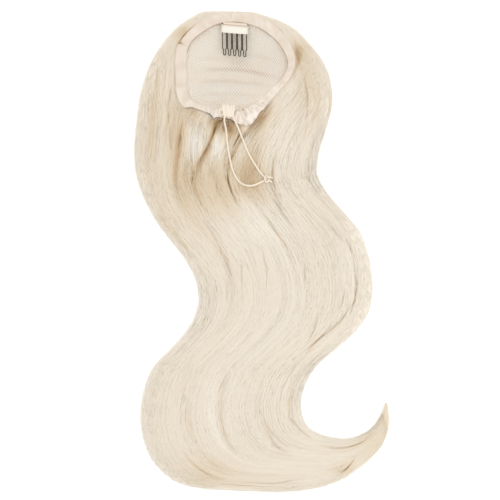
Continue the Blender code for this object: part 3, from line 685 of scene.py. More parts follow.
# Each row is a place where hair lies over the casing's outer half: its pixel, reach and share
TUCKS = (
    ((202, 110), 0.0135, 1.5),
    ((224, 120), 0.011, 0.85),
    ((272, 92), 0.016, 0.25),
)


def tucked(points):
    """How much of the casing's outer half the hair hides at points along it."""
    hidden = np.zeros(len(points))
    for pixel, reach, share in TUCKS:
        away = np.linalg.norm(points[:, :2] - from_photo(pixel), axis=1)
        hidden = np.maximum(hidden, share * bell(away, reach, 4))
    return hidden


def cap_polar(points):
    away = points[:, :2] - CAP_MIDDLE
    return np.arctan2(away[:, 1], away[:, 0]), np.linalg.norm(away, axis=1)


def polar_edge(share):
    """An edge of the casing by the angle round the cap's middle; share 1 is its outer edge."""
    reach = RIM_FINE.width * share / 2
    if share > 0:
        reach = reach * (1 - tucked(RIM_FINE.middle))
    edge = RIM_FINE.middle + RIM_FINE.outward * reach[:, None]
    angle, distance = cap_polar(edge)
    order = np.argsort(angle)
    return angle[order], distance[order], edge[order, 2]


OUTER_EDGE = polar_edge(1.0)
INNER_EDGE = polar_edge(-1.0)


def beside_edge(edge, points):
    """How far points and an edge lie from the cap's middle, and how high the edge is there."""
    angle, distance = cap_polar(points)
    return distance, *(np.interp(angle, edge[0], values, period=tau) for values in edge[1:])


def outside_casing(points):
    """How far points lie outside the casing's outer edge, in plan."""
    distance, reach, _ = beside_edge(OUTER_EDGE, points)
    return distance - reach


def net_height(points):
    """The height of the net's top under points of the plan."""
    distance, reach, edge = beside_edge(INNER_EDGE, points)
    share = np.clip(distance / reach, 0, 1)
    floor = RIM_HEIGHT - CAP_DEPTH
    fold = NET_FOLD * np.sin(tau * (points[:, 1] - CAP_Y) / NET_FOLD_PITCH) * (1 - share**2) * share
    return floor + (edge - CASING_THICKNESS / 2 - CLEARANCE - floor) * share**NET_CURVE + fold


# Hair


LOWEST = 0.0003
MASS_LINES = 250
MASS_PLACES = 190
MASS_SUNK = 0.00012
MASS_SUNK_AT_EDGE = 0.0013
# Painted shade: the hair's body under the strands is tanner, so the gaps between strands look shaded
MASS_SHADE = -0.07
# Painted light: how much paler the hair's rim is made, against the shade of its steep sides
EDGE_PAINTED_LIGHT = 0.66
EDGE_PLACE = float(place_round(0.0))
BACK_PLACES = 14
FLOW_WIDTH = 0.19


def sink_under_cap(points):
    """Lowers points that lie under the casing or the net until they are clear of them."""
    outside = outside_casing(points)
    distance, reach, _ = beside_edge(INNER_EDGE, points)
    casing = rim_height(points[:, 1]) - CASING_THICKNESS / 2 - 2 * CLEARANCE - NET_WALL
    bowl = net_height(points) - NET_WALL - 3 * CLEARANCE
    under = np.where(distance < reach, np.minimum(bowl, casing), casing)
    share = ease(1 + outside / 0.002)
    limit = under * (1 - share) + points[:, 2] * share
    points[:, 2] = np.where(outside < 0, np.minimum(points[:, 2], limit), points[:, 2])
    return points


def tone_at(points):
    """How pale the hair is in each place, from 0 to 1, before its bands and each strand's own difference,
    with its patches of tone, painted shade and painted highlight, and the painted shade of its creases.
    """
    tone = np.full(len(points), PALE_TONE)
    for x, y, reach_x, reach_y, share in TONE_AND_LIGHT_PATCHES:
        away = ((points[:, 0] - x) / reach_x) ** 2 + ((points[:, 1] - y) / reach_y) ** 2
        tone -= TONE_AND_LIGHT_STRENGTH * share * np.exp(-away)
    return tone - CREASE_SHADE_STRENGTH * sample(CREASE_SHADE_AND_HIGHLIGHT, points)


# Each row is one fineness of the bands: its strength, its cells across and along, and its seed
BANDS = ((0.046, 8, 0.11, 71), (0.040, 23, 0.13, 72), (0.032, 62, 0.17, 73))


def band_tone(place, line):
    """The difference of tone of long bands that follow the flow, and the painted light that makes the hair's
    rim and its end at the crown paler, against the shade of their steep sides.
    """
    bands = sum(size * noise(place * across, line * along, seed) for size, across, along, seed in BANDS)
    away = np.abs(np.minimum(place, 1 - place) - EDGE_PLACE)
    # Painted light: paler along the hair's rim and at its end at the crown
    rim = 0.6 * np.exp(-away / 0.012) + 0.4 * np.exp(-away / 0.05)
    rim = np.minimum(rim * ease((LAST_LINE - line) / 2) + 0.5 * np.exp(-line / 0.4), 1)
    return bands * (1 - 0.35 * ease((line - 8) / 4)) + EDGE_PAINTED_LIGHT * rim


def make_mass(finish):
    """The body of the hair under its strands: the outer form of the solid, with its locks and creases."""
    lines = np.linspace(0, LAST_LINE - 1e-6, MASS_LINES)
    places = np.linspace(0, 1, MASS_PLACES)
    places = places - 0.65 * np.sin(tau * places) / tau
    line, place = (g.ravel() for g in np.meshgrid(lines, places, indexing="ij"))
    left, right, _ = hair_lines(line)
    width = np.linalg.norm(right - left, axis=1)
    edge = 1 - ease(np.minimum(place, 1 - place) / 0.07)
    sunk = np.minimum(MASS_SUNK + (MASS_SUNK_AT_EDGE - MASS_SUNK) * edge, 0.1 * width)
    top = hair_surface(place, line) - hair_outward(place, line) * sunk[:, None]
    top[:, 2] = np.maximum(top[:, 2], LOWEST)
    top = sink_under_cap(top).reshape(MASS_LINES, MASS_PLACES, 3)
    shares = np.linspace(0, 1, BACK_PLACES + 2)[1:-1]
    back = top[:, -1:] + (top[:, :1] - top[:, -1:]) * shares[:, None]
    points = np.concatenate([top, back], axis=1)
    columns = points.shape[1]
    points = points.reshape(-1, 3)
    across = np.tile(np.concatenate([places, 2 - shares]), MASS_LINES)
    left, right, _ = hair_lines(lines)
    along = np.repeat(run_of((left + right) / 2), columns)
    flow = np.column_stack([across * FLOW_WIDTH, along, np.zeros(len(points))])
    faces = [grid_faces(MASS_LINES, columns)[:, ::-1], end_faces(MASS_LINES, columns)]
    tone = tone_at(points) + band_tone(np.minimum(across, 1), np.repeat(lines, columns)) + MASS_SHADE
    return add_mesh("hair_mass", points, faces, finish, tone=tone, flow=flow)


BAND_LINES = np.linspace(0, 10, 201)
LEFT_BAND = ((5.9, 0.248), (6.1, 0.246), (7.05, 0.240), (7.7, 0.220), (8.6, 0.200), (10.0, 0.20))
RIGHT_BAND = (
    (5.6, 0.68), (6.1, 0.635), (6.35, 0.6), (6.6, 0.57),
    (7.05, 0.533), (7.7, 0.5), (8.6, 0.475), (10.0, 0.47),
)


def band_edges():
    """Where round the sections the crown's hair ends: at the casing, and at the bands below it."""
    across = np.linspace(0, 1, 401)
    edges = np.full((2, len(BAND_LINES)), 0.5)
    for n, line in enumerate(BAND_LINES):
        left, right, _ = hair_lines(np.array([line]))
        inside = np.nonzero(outside_casing(left + (right - left) * across[:, None]) < 0)[0]
        if len(inside):
            edges[:, n] = across[inside[[0, -1]]]
    window = np.hanning(13) / np.hanning(13).sum()
    places = []
    for edge, band, trim, most in zip(edges, (LEFT_BAND, RIGHT_BAND), (np.minimum, np.maximum), (1, 0)):
        below = BAND_LINES > band[0][0]
        edge[below] = np.interp(BAND_LINES[below], *np.transpose(band))
        smooth = np.convolve(np.pad(edge, 6, mode="edge"), window, mode="valid")
        places.append(place_round(trim(smooth, np.where(BAND_LINES < 6, edge, most))))
    return places


LEFT_EDGE, RIGHT_EDGE = band_edges()


def strand_places(slot, line, part):
    """The places round the sections of strands: slot is their share of their part of the hair."""
    left, right = (np.interp(line, BAND_LINES, edge) for edge in (LEFT_EDGE, RIGHT_EDGE))
    return {
        "left": slot * left,
        "middle": left + slot * (right - left),
        "right": 1 - (1 - slot) * (1 - right),
        "edge": np.where(slot < 0.5, EDGE_STRIP * slot, 1 - EDGE_STRIP * (1 - slot)),
    }[part]


CORD_POINTS = np.concatenate([spline(route, even_places(route, 90)) for route in (LEFT_ROUTE, RIGHT_ROUTE)])


def clear_of_cords(points):
    """Presses points down where the drawstring lies on them."""
    x, y = points[:, 0], points[:, 1]
    near = np.nonzero((x > -0.05) & (x < 0.02) & (y > 0.06) & (y < 0.16))[0]
    if len(near):
        away = np.linalg.norm(points[near, None, :2] - CORD_POINTS[None, :, :2], axis=2)
        closest = away.argmin(axis=1)
        distance = away[np.arange(len(near)), closest]
        limit = CORD_POINTS[closest, 2] - CORD_DIAMETER / 2 - STRAND_RADIUS - 0.0001
        limit = limit + np.maximum(0, distance - 0.0012) * 1.2
        points[near, 2] = np.minimum(points[near, 2], limit)
    return points


STRAND_RADIUS = 0.00034
STRAND_STEP = 0.58
CLUMP_DRIFT = 0.0045
OWN_DRIFT = 0.0020
EDGE_STRIP = 0.16
ROOT_PLACES = (11.5, 8.1)
ROOT_CROWDING = 1.15
GATHER_POINT = np.array([CAP_X - 0.0094, CAP_Y - 0.049])
FAN_STEPS = 14
FAN_CROWDING = 1.25
FAN_LOOSENESS = 0.0006
FAN_RISE = 0.0018
TUCK_LIFT = 0.0026
PIECE_TRIANGLES = 165000

PARTS = (
    ("left", 900, 60),
    ("middle", 900, 56),
    ("right", 1330, 96),
    ("edge", 560, 120),
)


def roots_of(slot):
    """Where strands come out under the casing, and their way there, for shares from left to right."""
    across = 2 * slot - 1
    crowded = np.sign(across) * np.abs(across) ** ROOT_CROWDING
    place = sum(ROOT_PLACES) / 2 + (ROOT_PLACES[1] - ROOT_PLACES[0]) / 2 * crowded
    start, outward, width, _ = rim_at(place)
    start = start + outward * (width * (0.42 - 0.55 * tucked(start)))[:, None]
    radial = unit(start - GATHER_POINT + np.array([0, 0.004]))
    way = unit(0.55 * outward + 0.45 * radial + np.array([0, -0.15]))
    return start, way, rim_height(start[:, 1]) - CASING_THICKNESS / 2 - 0.0006


def fan_lines(slot, end, after, jitter):
    """The first stretches of strands from under the gathers, until they lie in the flow of the tail."""
    start, way, low = roots_of(slot)
    end_way = unit(after[:, :2] - end[:, :2])
    length = np.linalg.norm(end[:, :2] - start, axis=1)[:, None] * 1.1
    share = np.linspace(0, 1, FAN_STEPS, endpoint=False)[None] ** FAN_CROWDING
    square, cube = share**2, share**3
    flat = (2 * cube - 3 * square + 1)[..., None] * start[:, None]
    flat = flat + ((cube - 2 * square + share) * length)[..., None] * way[:, None]
    flat = flat + (3 * square - 2 * cube)[..., None] * end[:, None, :2]
    flat = flat + ((cube - square) * length)[..., None] * end_way[:, None]
    rise = ease(share * length / FAN_RISE)
    height = low[:, None] + (end[:, 2] - low)[:, None] * rise + jitter[:, None] * np.sin(pi * share)
    relief = sample(CREASE_RISE, flat.reshape(-1, 2)).reshape(height.shape)
    height = height + (relief - sample(CREASE_RISE, end)[:, None]) * rise
    over = ease(share * 14) * (1 - ease(share * 2))
    height = height + TUCK_LIFT * tucked(start)[:, None] * over
    return np.concatenate([flat, height[..., None]], axis=-1)


def run_each(points, counts):
    """The distance along each of many lines of points, from its own start."""
    step = np.zeros(len(points))
    step[1:] = np.linalg.norm(np.diff(points, axis=0), axis=1)
    first = np.cumsum(counts) - counts
    step[first] = 0
    run = np.cumsum(step)
    return run - np.repeat(run[first], counts)


def make_part(part, count, clumps, draw, finish):
    """The strands of one part of the hair, split into pieces of a fair size."""
    clump = np.sort(draw.integers(0, clumps, count))
    slot = np.clip((clump + 0.5 + draw.normal(0, 0.45, count)) / clumps, 0.002, 0.998)
    clump_seed = draw.uniform(0, 60, clumps)[clump]
    clump_drift = draw.uniform(0.3, 1.0, clumps)[clump] * CLUMP_DRIFT
    own_seed = draw.uniform(0, 60, count)
    lift = draw.uniform(-0.00014, 0.00012, count)
    own_tone = draw.normal(0, 0.012, count) + draw.normal(0, 0.012, clumps)[clump]
    own_tone += draw.choice((0.0, -0.16, 0.10), count, p=(0.96, 0.025, 0.015))
    radius = STRAND_RADIUS * draw.uniform(0.65, 1.15, count)
    last = LAST_LINE - 8.5 * draw.uniform(0, 1, count) ** 1.6
    late = np.zeros(count, bool)
    if part == "middle":
        first = draw.uniform(7.1, 7.9, count)
    elif part == "edge":
        first = draw.uniform(0, LAST_LINE - 3, count)
        last = np.minimum(LAST_LINE - 0.3, first + draw.uniform(2.5, 6, count))
        radius = radius * 0.62
        # Painted light: the loose strands at the rim are paler, against the shade of the hair's steep sides
        own_tone += 0.30
    else:
        late = draw.uniform(0, 1, count) > 0.6
        first = np.where(late, draw.uniform(0.8, 6.5, count), draw.uniform(0, 0.8, count))

    def place(line, i):
        loose = ease((line - 5) / 3)
        wander = clump_drift[i] * noise(clump_seed[i], line * 0.22, 11) * loose
        own = OWN_DRIFT * noise(own_seed[i], line * 0.24, 12) * (0.3 + 0.7 * loose)
        return np.clip(strand_places(slot[i], line, part) + wander + own, 0.004, 0.996)

    steps = np.maximum(6, (last - first) / STRAND_STEP).astype(int)
    strand = np.repeat(np.arange(count), steps)
    station = np.arange(len(strand)) - np.repeat(np.cumsum(steps) - steps, steps)
    done = station / (steps[strand] - 1)
    line = first[strand] + (last - first)[strand] * done
    where = place(line, strand)
    up = hair_outward(where, line)
    height = lift[strand] - 0.0016 * late[strand] * (1 - ease((line - first[strand]) / 1.6))
    height = height - 0.0010 * ease((line - last[strand] + 1.2) / 1.2)
    if part == "edge":
        stray = np.minimum(draw.exponential(0.0005, count), 0.0018)
        height = height + stray[strand] * np.sin(pi * done)
    points = hair_surface(where, line) + up * height[:, None]
    if part == "middle":
        each = np.arange(count)
        root = np.repeat(each, FAN_STEPS)
        end, after = (hair_surface(place(first + step, each), first + step) for step in (0, 0.1))
        fan = fan_lines(slot, end, after, draw.uniform(0, FAN_LOOSENESS, count))
        strand = np.concatenate([root, strand])
        station = np.concatenate([np.tile(np.arange(FAN_STEPS), count), station + FAN_STEPS])
        order = np.lexsort((station, strand))
        strand = strand[order]
        points = np.concatenate([fan.reshape(-1, 3), points])[order]
        up = np.concatenate([np.tile(UP, (len(root), 1)), up])[order]
        where = np.concatenate([place(first, each)[root], where])[order]
        line = np.concatenate([first[root], line])[order]
        steps = steps + FAN_STEPS
    points = clear_of_cords(points)
    points[:, 2] = np.maximum(points[:, 2], LOWEST)
    run = run_each(points, steps)
    left = run[np.cumsum(steps) - 1][strand] - run
    thin = radius[strand] * (0.25 + 0.75 * ease(run / 0.012)) * (0.18 + 0.82 * ease(left / 0.045))
    tone = tone_at(points) + band_tone(where, line) + own_tone[strand]
    flow = np.column_stack([draw.uniform(0, 5, count)[strand], run, np.zeros(len(run))])
    piece_of = np.cumsum(6 * steps) // PIECE_TRIANGLES
    made = []
    for number in range(piece_of[-1] + 1):
        mine = piece_of[strand] == number
        name = f"strands_{part}_{number + 1}"
        shape = (points[mine], steps[piece_of == number], thin[mine], up[mine])
        made.append(tube_mesh(name, *shape, finish, tone=tone[mine], flow=flow[mine]))
    return made


def make_strands(finish):
    """The strands that cover the hair, in clumps that follow its flow."""
    draw = np.random.default_rng(7)
    return [piece for part in PARTS for piece in make_part(*part, draw, finish)]


LINE_STEP = 0.004
LINE_STRANDS = 3
LINE_SPREAD = 0.0006
LINE_RISE = 0.0005


def make_lines(mass, finish):
    """The strands that stand out in the photograph, laid on the body of the hair."""
    draw = np.random.default_rng(8)
    corners = [v.co for v in mass.data.vertices]
    body = BVHTree.FromPolygons(corners, [p.vertices[:] for p in mass.data.polygons])
    lines, radii, lower = [], [], []
    for radius, drop, *pixels in LINES:
        middle = from_photo(pixels)
        for strand in range(LINE_STRANDS):
            first, last = draw.uniform(0, 0.3), draw.uniform(0.7, 1)
            count = max(8, int((last - first) * run_of(middle)[-1] / LINE_STEP))
            share = np.linspace(first, last, count)
            plan = spline(middle, share * (len(middle) - 1))
            drift = LINE_SPREAD * (strand - 1) + 0.0006 * noise(share * 4, draw.uniform(0, 60), 15)
            plan = plan + unit(np.gradient(plan, axis=0))[:, ::-1] * (1, -1) * drift[:, None]
            height = np.array([body.ray_cast((x, y, 1), (0, 0, -1))[0].z for x, y in plan])
            fade = np.sin(pi * np.linspace(0.02, 0.98, count))
            lines.append(np.column_stack([plan, height + LINE_RISE]))
            radii.append(radius * np.sqrt(fade))
            lower.append(drop * fade**0.7 * draw.uniform(0.6, 1.1))
    counts = [len(line) for line in lines]
    points = clear_of_cords(np.concatenate(lines))
    flow = np.column_stack([np.repeat(draw.uniform(0, 5, len(counts)), counts), points[:, 1], points[:, 0]])
    # Painted shade: the lines are darker than the hair round them, mostly along gaps between locks
    tone = tone_at(points) - np.concatenate(lower)
    radii = np.concatenate(radii)
    return tube_mesh("strands_lines", points, counts, radii, UP, finish, tone=tone, flow=flow)


# Net


def net_folds(flat):
    """The soft folds of the net, which run across the cap, and flatten out at its rim."""
    distance, reach, _ = beside_edge(INNER_EDGE, flat)
    wrinkle = 0.00045 * noise(flat[:, 0] * 24, flat[:, 1] * 150, 21)
    wrinkle = wrinkle + 0.0002 * noise(flat[:, 0] * 60, flat[:, 1] * 340, 22)
    return (wrinkle + sample(NET_RISE, flat)) * (1 - np.clip(distance / reach, 0, 1) ** 4)


NET_RINGS = 44
NET_STATIONS = 160
NET_SUNK = 0.00035
NET_THICKNESS = 0.0009


def make_net(finish):
    """The netting bowl with its flange, as one thin closed sheet."""
    rim = rim_stations(NET_STATIONS)
    inner = rim.middle - rim.outward * (rim.width / 2)[:, None]
    shares = np.linspace(0.02, 1, NET_RINGS)[:, None, None]
    flat = (CAP_MIDDLE + (inner[:, :2] - CAP_MIDDLE) * shares).reshape(-1, 2)
    top = np.column_stack([flat, net_height(flat) + net_folds(flat)])
    flange = rim.middle - (0, 0, CASING_THICKNESS / 2 + CLEARANCE)
    top = np.concatenate([top, flange]) - (0, 0, NET_SUNK)
    count = len(top)
    points = np.concatenate([top, top - (0, 0, NET_THICKNESS)])
    walls = grid_faces(NET_RINGS + 1, NET_STATIONS)
    middle = np.arange(NET_STATIONS)
    rim_top = NET_RINGS * NET_STATIONS + middle
    beside = np.roll(rim_top, -1)
    edge = np.stack([rim_top + count, beside + count, beside, rim_top], axis=-1)
    faces = [walls, walls[:, ::-1] + count, edge, middle[None, ::-1], middle[None] + count]
    return add_mesh("net_lining", points, faces, finish, tan=sample(NET_SHADE_AND_TONE, points))


THREAD_PITCH = 0.0024
THREAD_RADIUS = 0.00048
THREAD_FLATNESS = 0.5
THREAD_REACH = 0.075
THREAD_TURNS = (radians(52), radians(128))


def make_net_threads(finish):
    """Two families of threads that cross over and under each other on the net."""
    lines, radii = [], []
    step = THREAD_PITCH / abs(sin(THREAD_TURNS[1] - THREAD_TURNS[0]))
    stops = np.arange(-THREAD_REACH, THREAD_REACH, step / 2)
    rows = int(THREAD_REACH / THREAD_PITCH)
    for family, turn in enumerate(THREAD_TURNS):
        along, across = np.array([cos(turn), sin(turn)]), np.array([-sin(turn), cos(turn)])
        for row in range(-rows, rows + 1):
            plan = CAP_MIDDLE + across * row * THREAD_PITCH + along * stops[:, None]
            plan = plan + across * 0.0016 * noise(plan[:, 0] * 28, plan[:, 1] * 28, 31)[:, None]
            distance, reach, _ = beside_edge(INNER_EDGE, plan)
            inside = distance < reach + 0.0012
            if inside.sum() < 5:
                continue
            weave = 0.00011 * np.where((np.arange(len(stops)) // 2 + row + family) % 2, 1, -1)
            flat = plan[inside]
            lines.append(np.column_stack([flat, net_height(flat) + net_folds(flat) + weave[inside]]))
            radii.append(THREAD_RADIUS * (1 + 0.3 * noise(flat[:, 0] * 90, flat[:, 1] * 90, 32)))
    points = np.concatenate(lines)
    return tube_mesh(
        "net_threads", points, [len(line) for line in lines], np.concatenate(radii), UP, finish,
        flat=THREAD_FLATNESS, tan=sample(NET_SHADE_AND_TONE, points),
    )


# Casing


CASING_STATIONS = 900
CASING_SIDES = 24
CASING_SQUARENESS = 0.55
PLEAT_PITCH = 0.0037
SMOOTH_CASING = 0.25
CROWN_TURN = -0.02
CROWN_REACH = 0.095

# Places on the casing in the photograph's pixels: its overlap at the crown, the fold at its upper left, the
# slack part that hangs below the gathers, and the corner that bulges at its lower left
OVERLAP_AT = (235, 17)
FOLD_AT = (181, 44)
SKIRT_AT = (248, 119)
CORNER_AT = (186, 108)


def along_rim(rim, pixel):
    """How far along the casing its stations lie from the one nearest to a pixel, to either side."""
    total = rim.run[-1] + rim.run[1]
    nearest = rim.run[np.linalg.norm(rim.middle[:, :2] - from_photo(pixel), axis=1).argmin()]
    return ((rim.run - nearest + total / 2) % total - total / 2)[:, None]


def make_casing(finish):
    """The ribbon casing: smooth at the crown, pleated and slack where the string gathers it."""
    rim = rim_stations(CASING_STATIONS)
    overlap, fold, skirt, corner = (along_rim(rim, p) for p in (OVERLAP_AT, FOLD_AT, SKIRT_AT, CORNER_AT))
    turn = tau * np.arange(CASING_SIDES) / CASING_SIDES
    out, up = ((np.sign(s) * np.abs(s) ** CASING_SQUARENESS)[None] for s in (np.cos(turn), np.sin(turn)))
    run, gather = rim.run[:, None], rim.gather[:, None]
    total = run[-1, 0] + run[1, 0]
    cell = run / total * NOISE_CELLS
    phase = run / total * round(total / PLEAT_PITCH) + noise(cell, 0.5, 41)
    phase = phase + 0.55 * noise(cell * 1.5, out * 1.6 + 9, 42)
    strength = np.clip(0.75 + 0.60 * noise(cell * 1.5, out * 0.9 + 30, 45), 0, 1)
    ridge = 1 - strength * (1 - np.abs(np.sin(pi * phase)) ** 0.6)
    slack = bell(skirt, 0.016, 4)
    ridge = 0.62 + (ridge - 0.62) * (1 - 0.85 * slack)
    crumple = gather * (0.35 + 0.65 * slack) * noise(cell * 3.3, out * 3.2 + 50, 46)
    lumps = noise(cell, out * 1.2 + 20, 43)
    soft = noise(cell, out * 0.8 + cell * 0.5, 44)
    outer, inner = np.maximum(out, 0), np.maximum(-out, 0)
    hang = 0.0048 * bell(skirt, 0.0075) + 0.0012 * bell(corner, 0.006)
    hang = hang + 0.0014 * np.exp(fold / 0.016) * (fold < 0)
    swell = gather * (0.20 * (ridge - 0.6) + 0.16 * lumps) * (0.35 + 0.65 * outer)
    half = rim.width[:, None] / 2 * (1 + swell) * (1 - outer * tucked(rim.middle)[:, None])
    pleat = 0.0016 * (ridge - 0.62) + 0.0010 * lumps + 0.0013 * crumple
    step = ease((overlap + 0.006) / 0.0007) - ease((overlap - 0.006) / 0.0007)
    lap = 0.0009 * ease(fold / 0.0009) * np.exp(-np.maximum(fold, 0) / 0.012)
    top = 0.00024 * soft + gather * pleat + 0.00015 * step * outer + lap - 0.32 * hang * outer
    points = rim.middle[:, None] + rim.outward[:, None] * (half * out + hang * outer**2)[..., None]
    points[..., 2] += CASING_THICKNESS / 2 * up * (1 - 0.25 * inner * (up > 0)) + top * ease(up / 0.5)
    crown = (np.abs(overlap + CROWN_TURN) < CROWN_REACH) * (1 - gather)
    # Painted shade and highlight: the casing is tanner in its pleats' valleys and paler on their ridges and
    # raised lumps, with a soft random tone; painted shade darkens it along its fold, along its inner edge at
    # the crown and along its outer edge by the fold, and a darker line marks the crown's overlap.
    crease = gather * (0.42 * (1 - ridge) ** 1.3 - 0.20 * ridge - 0.14 * lumps - 0.30 * crumple)
    crease = crease + SMOOTH_CASING + 0.10 * soft
    crease = crease + 0.9 * bell(fold, 0.0011) * (0.08 + 0.92 * outer**2)
    crease = crease + 0.22 * bell(np.abs(overlap) - 0.003, 0.0006) * outer**2
    crease = crease + 0.60 * bell(out + 1.0, 0.10) * crown
    crease = crease + 0.55 * bell(out - 0.96, 0.08) * bell(fold - 0.012, 0.012, 4)
    across = out * CASING_WIDTH / 2
    return ring_mesh("casing_ribbon", points, run, across, finish, closed=True, crease=crease.ravel())


# Comb and tab


COMB_TEETH = 5
COMB_PITCH = 0.00555
COMB_LENGTH = 0.032
COMB_TURN = radians(-4.5)
WIRE_DIAMETER = 0.00105
WIRE_GAP = 0.00006
TOOTH_TIP_WIDTH = 0.0024
TOOTH_SPLIT = 0.0080
TOOTH_NECK = 0.0024
BEND_POINTS = 5
COMB_LEAN = 0.085
TAB_SIDE = 0.001
TAB_LENGTH = 0.0088
TAB_WALL = 0.001
TAB_WIDTH = COMB_TEETH * COMB_PITCH + 2 * TAB_SIDE
TAB_THICKNESS = WIRE_DIAMETER + 2 * CLEARANCE + 2 * TAB_WALL


def comb_frame():
    """Where the comb's solid lies: the middle of the tab's fold, across and along the comb, and up."""
    points = np.array([v.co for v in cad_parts["comb"].data.vertices])
    middle = points.mean(axis=0)
    up = np.linalg.svd(points - middle)[2][2]
    up = up * np.sign(up[2])
    across = np.array([cos(COMB_TURN), sin(COMB_TURN), 0])
    up = unit(up - across * (up @ across))
    along = np.cross(across, up)
    sides = (points - middle) @ across
    near = middle + along * (((points - middle) @ along).min() - TAB_WALL - CLEARANCE)
    return near + across * (sides.max() + sides.min()) / 2, across, along, up


COMB_FRAME = comb_frame()


def in_comb(points):
    """Points given across and along the comb and above it, as points of the frame."""
    near, *ways = COMB_FRAME
    return near + np.asarray(points, float) @ np.array(ways)


def arc(middle, radius, first, last, count):
    turn = np.linspace(first, last, count)
    return [(middle[0] + radius * cos(a), middle[1] + radius * sin(a)) for a in turn]


def comb_path():
    """The wire's middle line: down one leg of each tooth, round its tip, up the other and on to the next."""
    bend = (WIRE_DIAMETER + WIRE_GAP) / 2
    leg = COMB_PITCH / 2 - bend
    tip = TOOTH_TIP_WIDTH / 2
    start = TAB_WALL + CLEARANCE + WIRE_DIAMETER / 2
    end = start + COMB_LENGTH
    split = end - TOOTH_SPLIT
    neck = np.linspace(0, 1, 9)
    down = [(-leg, y) for y in np.linspace(start + bend, split - 0.001, 8)]
    down += [(x, y) for x, y in zip(ease(neck) * (leg - tip) - leg, split + neck * TOOTH_NECK)]
    tooth = down + arc((0, end - tip), tip, pi, 0, 9) + [(-x, y) for x, y in down[::-1]]
    tooth += arc((leg + bend, start + bend), bend, pi, 2 * pi, BEND_POINTS + 2)[1:-1]
    shifts = (np.arange(COMB_TEETH) - (COMB_TEETH - 1) / 2) * COMB_PITCH
    path = np.array([(x + shift, y, 0) for shift in shifts for x, y in tooth])[:-BEND_POINTS]
    path[:, 0] += COMB_LEAN * np.maximum(0, path[:, 1] - TAB_LENGTH)
    return in_comb(path)


def make_comb(finish):
    path = comb_path()
    radius = np.full(len(path), WIRE_DIAMETER / 2)
    return tube_mesh("comb_wire", path, [len(path)], radius, COMB_FRAME[3], finish, sides=12, flat=1)


TAB_STATIONS = 60


def tab_profile():
    """The sleeve's outline along and above the comb: its outer side, then its slot."""
    half = TAB_THICKNESS / 2
    slot = half - TAB_WALL
    outer = [(x, half) for x in np.linspace(TAB_LENGTH, half, 16, endpoint=False)]
    outer += [(half + half * cos(a), half * sin(a)) for a in np.linspace(pi / 2, 1.5 * pi, 13)]
    outer += [(x, -half) for x in np.linspace(half, TAB_LENGTH, 17)[1:]]
    inner = [(x, -slot) for x in np.linspace(TAB_LENGTH, TAB_WALL, 14)]
    inner += [(x, slot) for x in np.linspace(TAB_WALL, TAB_LENGTH, 14)]
    return np.array(outer + inner)


def make_tab(finish):
    """The folded ribbon sleeve over the comb's upper bends, puckered a little by its stitches."""
    profile = tab_profile()
    reach, height = profile.T
    shares = np.linspace(-1, 1, TAB_STATIONS)
    out = np.abs(height) > TAB_THICKNESS / 2 - 0.0002
    near_seam = reach > TAB_LENGTH * 0.9
    rings = []
    for share in shares:
        side = share * TAB_WIDTH / 2 * (1 + 0.006 * noise(reach * 800, share * 2, 53))
        frayed = reach + 0.00025 * noise(share * 14, 0.5, 52) * near_seam
        pucker = 0.00016 * noise(share * 9, reach * 900, 51) * out
        rings.append(np.column_stack([side, frayed, height * (1 - 0.28 * abs(share) ** 8 * out) + pucker]))
    rings = np.array(rings)
    edge = 0.8 * np.abs(np.repeat(shares, len(profile))) ** 14
    placed = in_comb(rings)
    return ring_mesh("tab_ribbon", placed, rings[..., 0], run_of(profile), finish, edge=edge)


TONGUE_WIDTH = 0.0262
TONGUE_START = 0.0018
TONGUE_REACH = 0.0052
TONGUE_THICKNESS = 0.0005


def make_tongue(finish):
    """The end of the tab's ribbon, which runs up from its fold to its seam under the casing."""
    shares = np.linspace(0, 1, 14)
    across = np.linspace(-0.5, 0.5, 30)
    outline = np.concatenate([across, across[::-1]]) * TONGUE_WIDTH
    side = np.repeat([0.5, -0.5], len(across)) * TONGUE_THICKNESS
    rings = []
    for share in shares:
        reach = TONGUE_START - (TONGUE_START + TONGUE_REACH) * share
        ring = in_comb(np.column_stack([outline, np.full(len(outline), reach), side]))
        seam = rim_height(ring[:, 1]) - CASING_THICKNESS / 2 + side
        fold = ring[:, 2] + TAB_THICKNESS / 2 + 0.0003
        ring[:, 2] = fold + (seam - fold) * ease(share) + 0.0002 * noise(outline * 500, share * 3, 54)
        rings.append(ring)
    edge = np.repeat(0.9 * bell(shares - 0.22, 0.07), len(outline))
    across = shares[:, None] * TONGUE_REACH
    return ring_mesh("tab_tongue", np.array(rings), outline, across, finish, edge=edge)


# Stitches


def sew(name, ends, up, radius, rise, finish):
    """Thread stitches between pairs of points, which dip into the cloth at both ends."""
    share = np.linspace(0, 1, 6)
    arch = np.sin(pi * share)
    first, last = np.swapaxes(np.array(ends), 0, 1)[:, :, None]
    lines = first + (last - first) * share[:, None] + np.asarray(up) * (arch[:, None] * rise - radius * 0.6)
    radii = np.tile(radius * (0.7 + 0.3 * arch), len(ends))
    counts = [len(share)] * len(ends)
    return tube_mesh(name, lines.reshape(-1, 3), counts, radii, up, finish, sides=5, flat=1)


STITCH_PITCH = 0.0026
STITCH_LENGTH = 0.0017
TAB_ROW_PITCH = 0.0014
TAB_SEAM_PITCH = 0.00155


def casing_top(rim, i, out):
    """A point on the top of the casing's smooth form; out runs from -1 at its inner edge to 1."""
    point = rim.middle[i] + rim.outward[i] * rim.width[i] / 2 * out
    return point + np.array([0, 0, CASING_THICKNESS / 2 * (1 - abs(out) ** 3.2)])


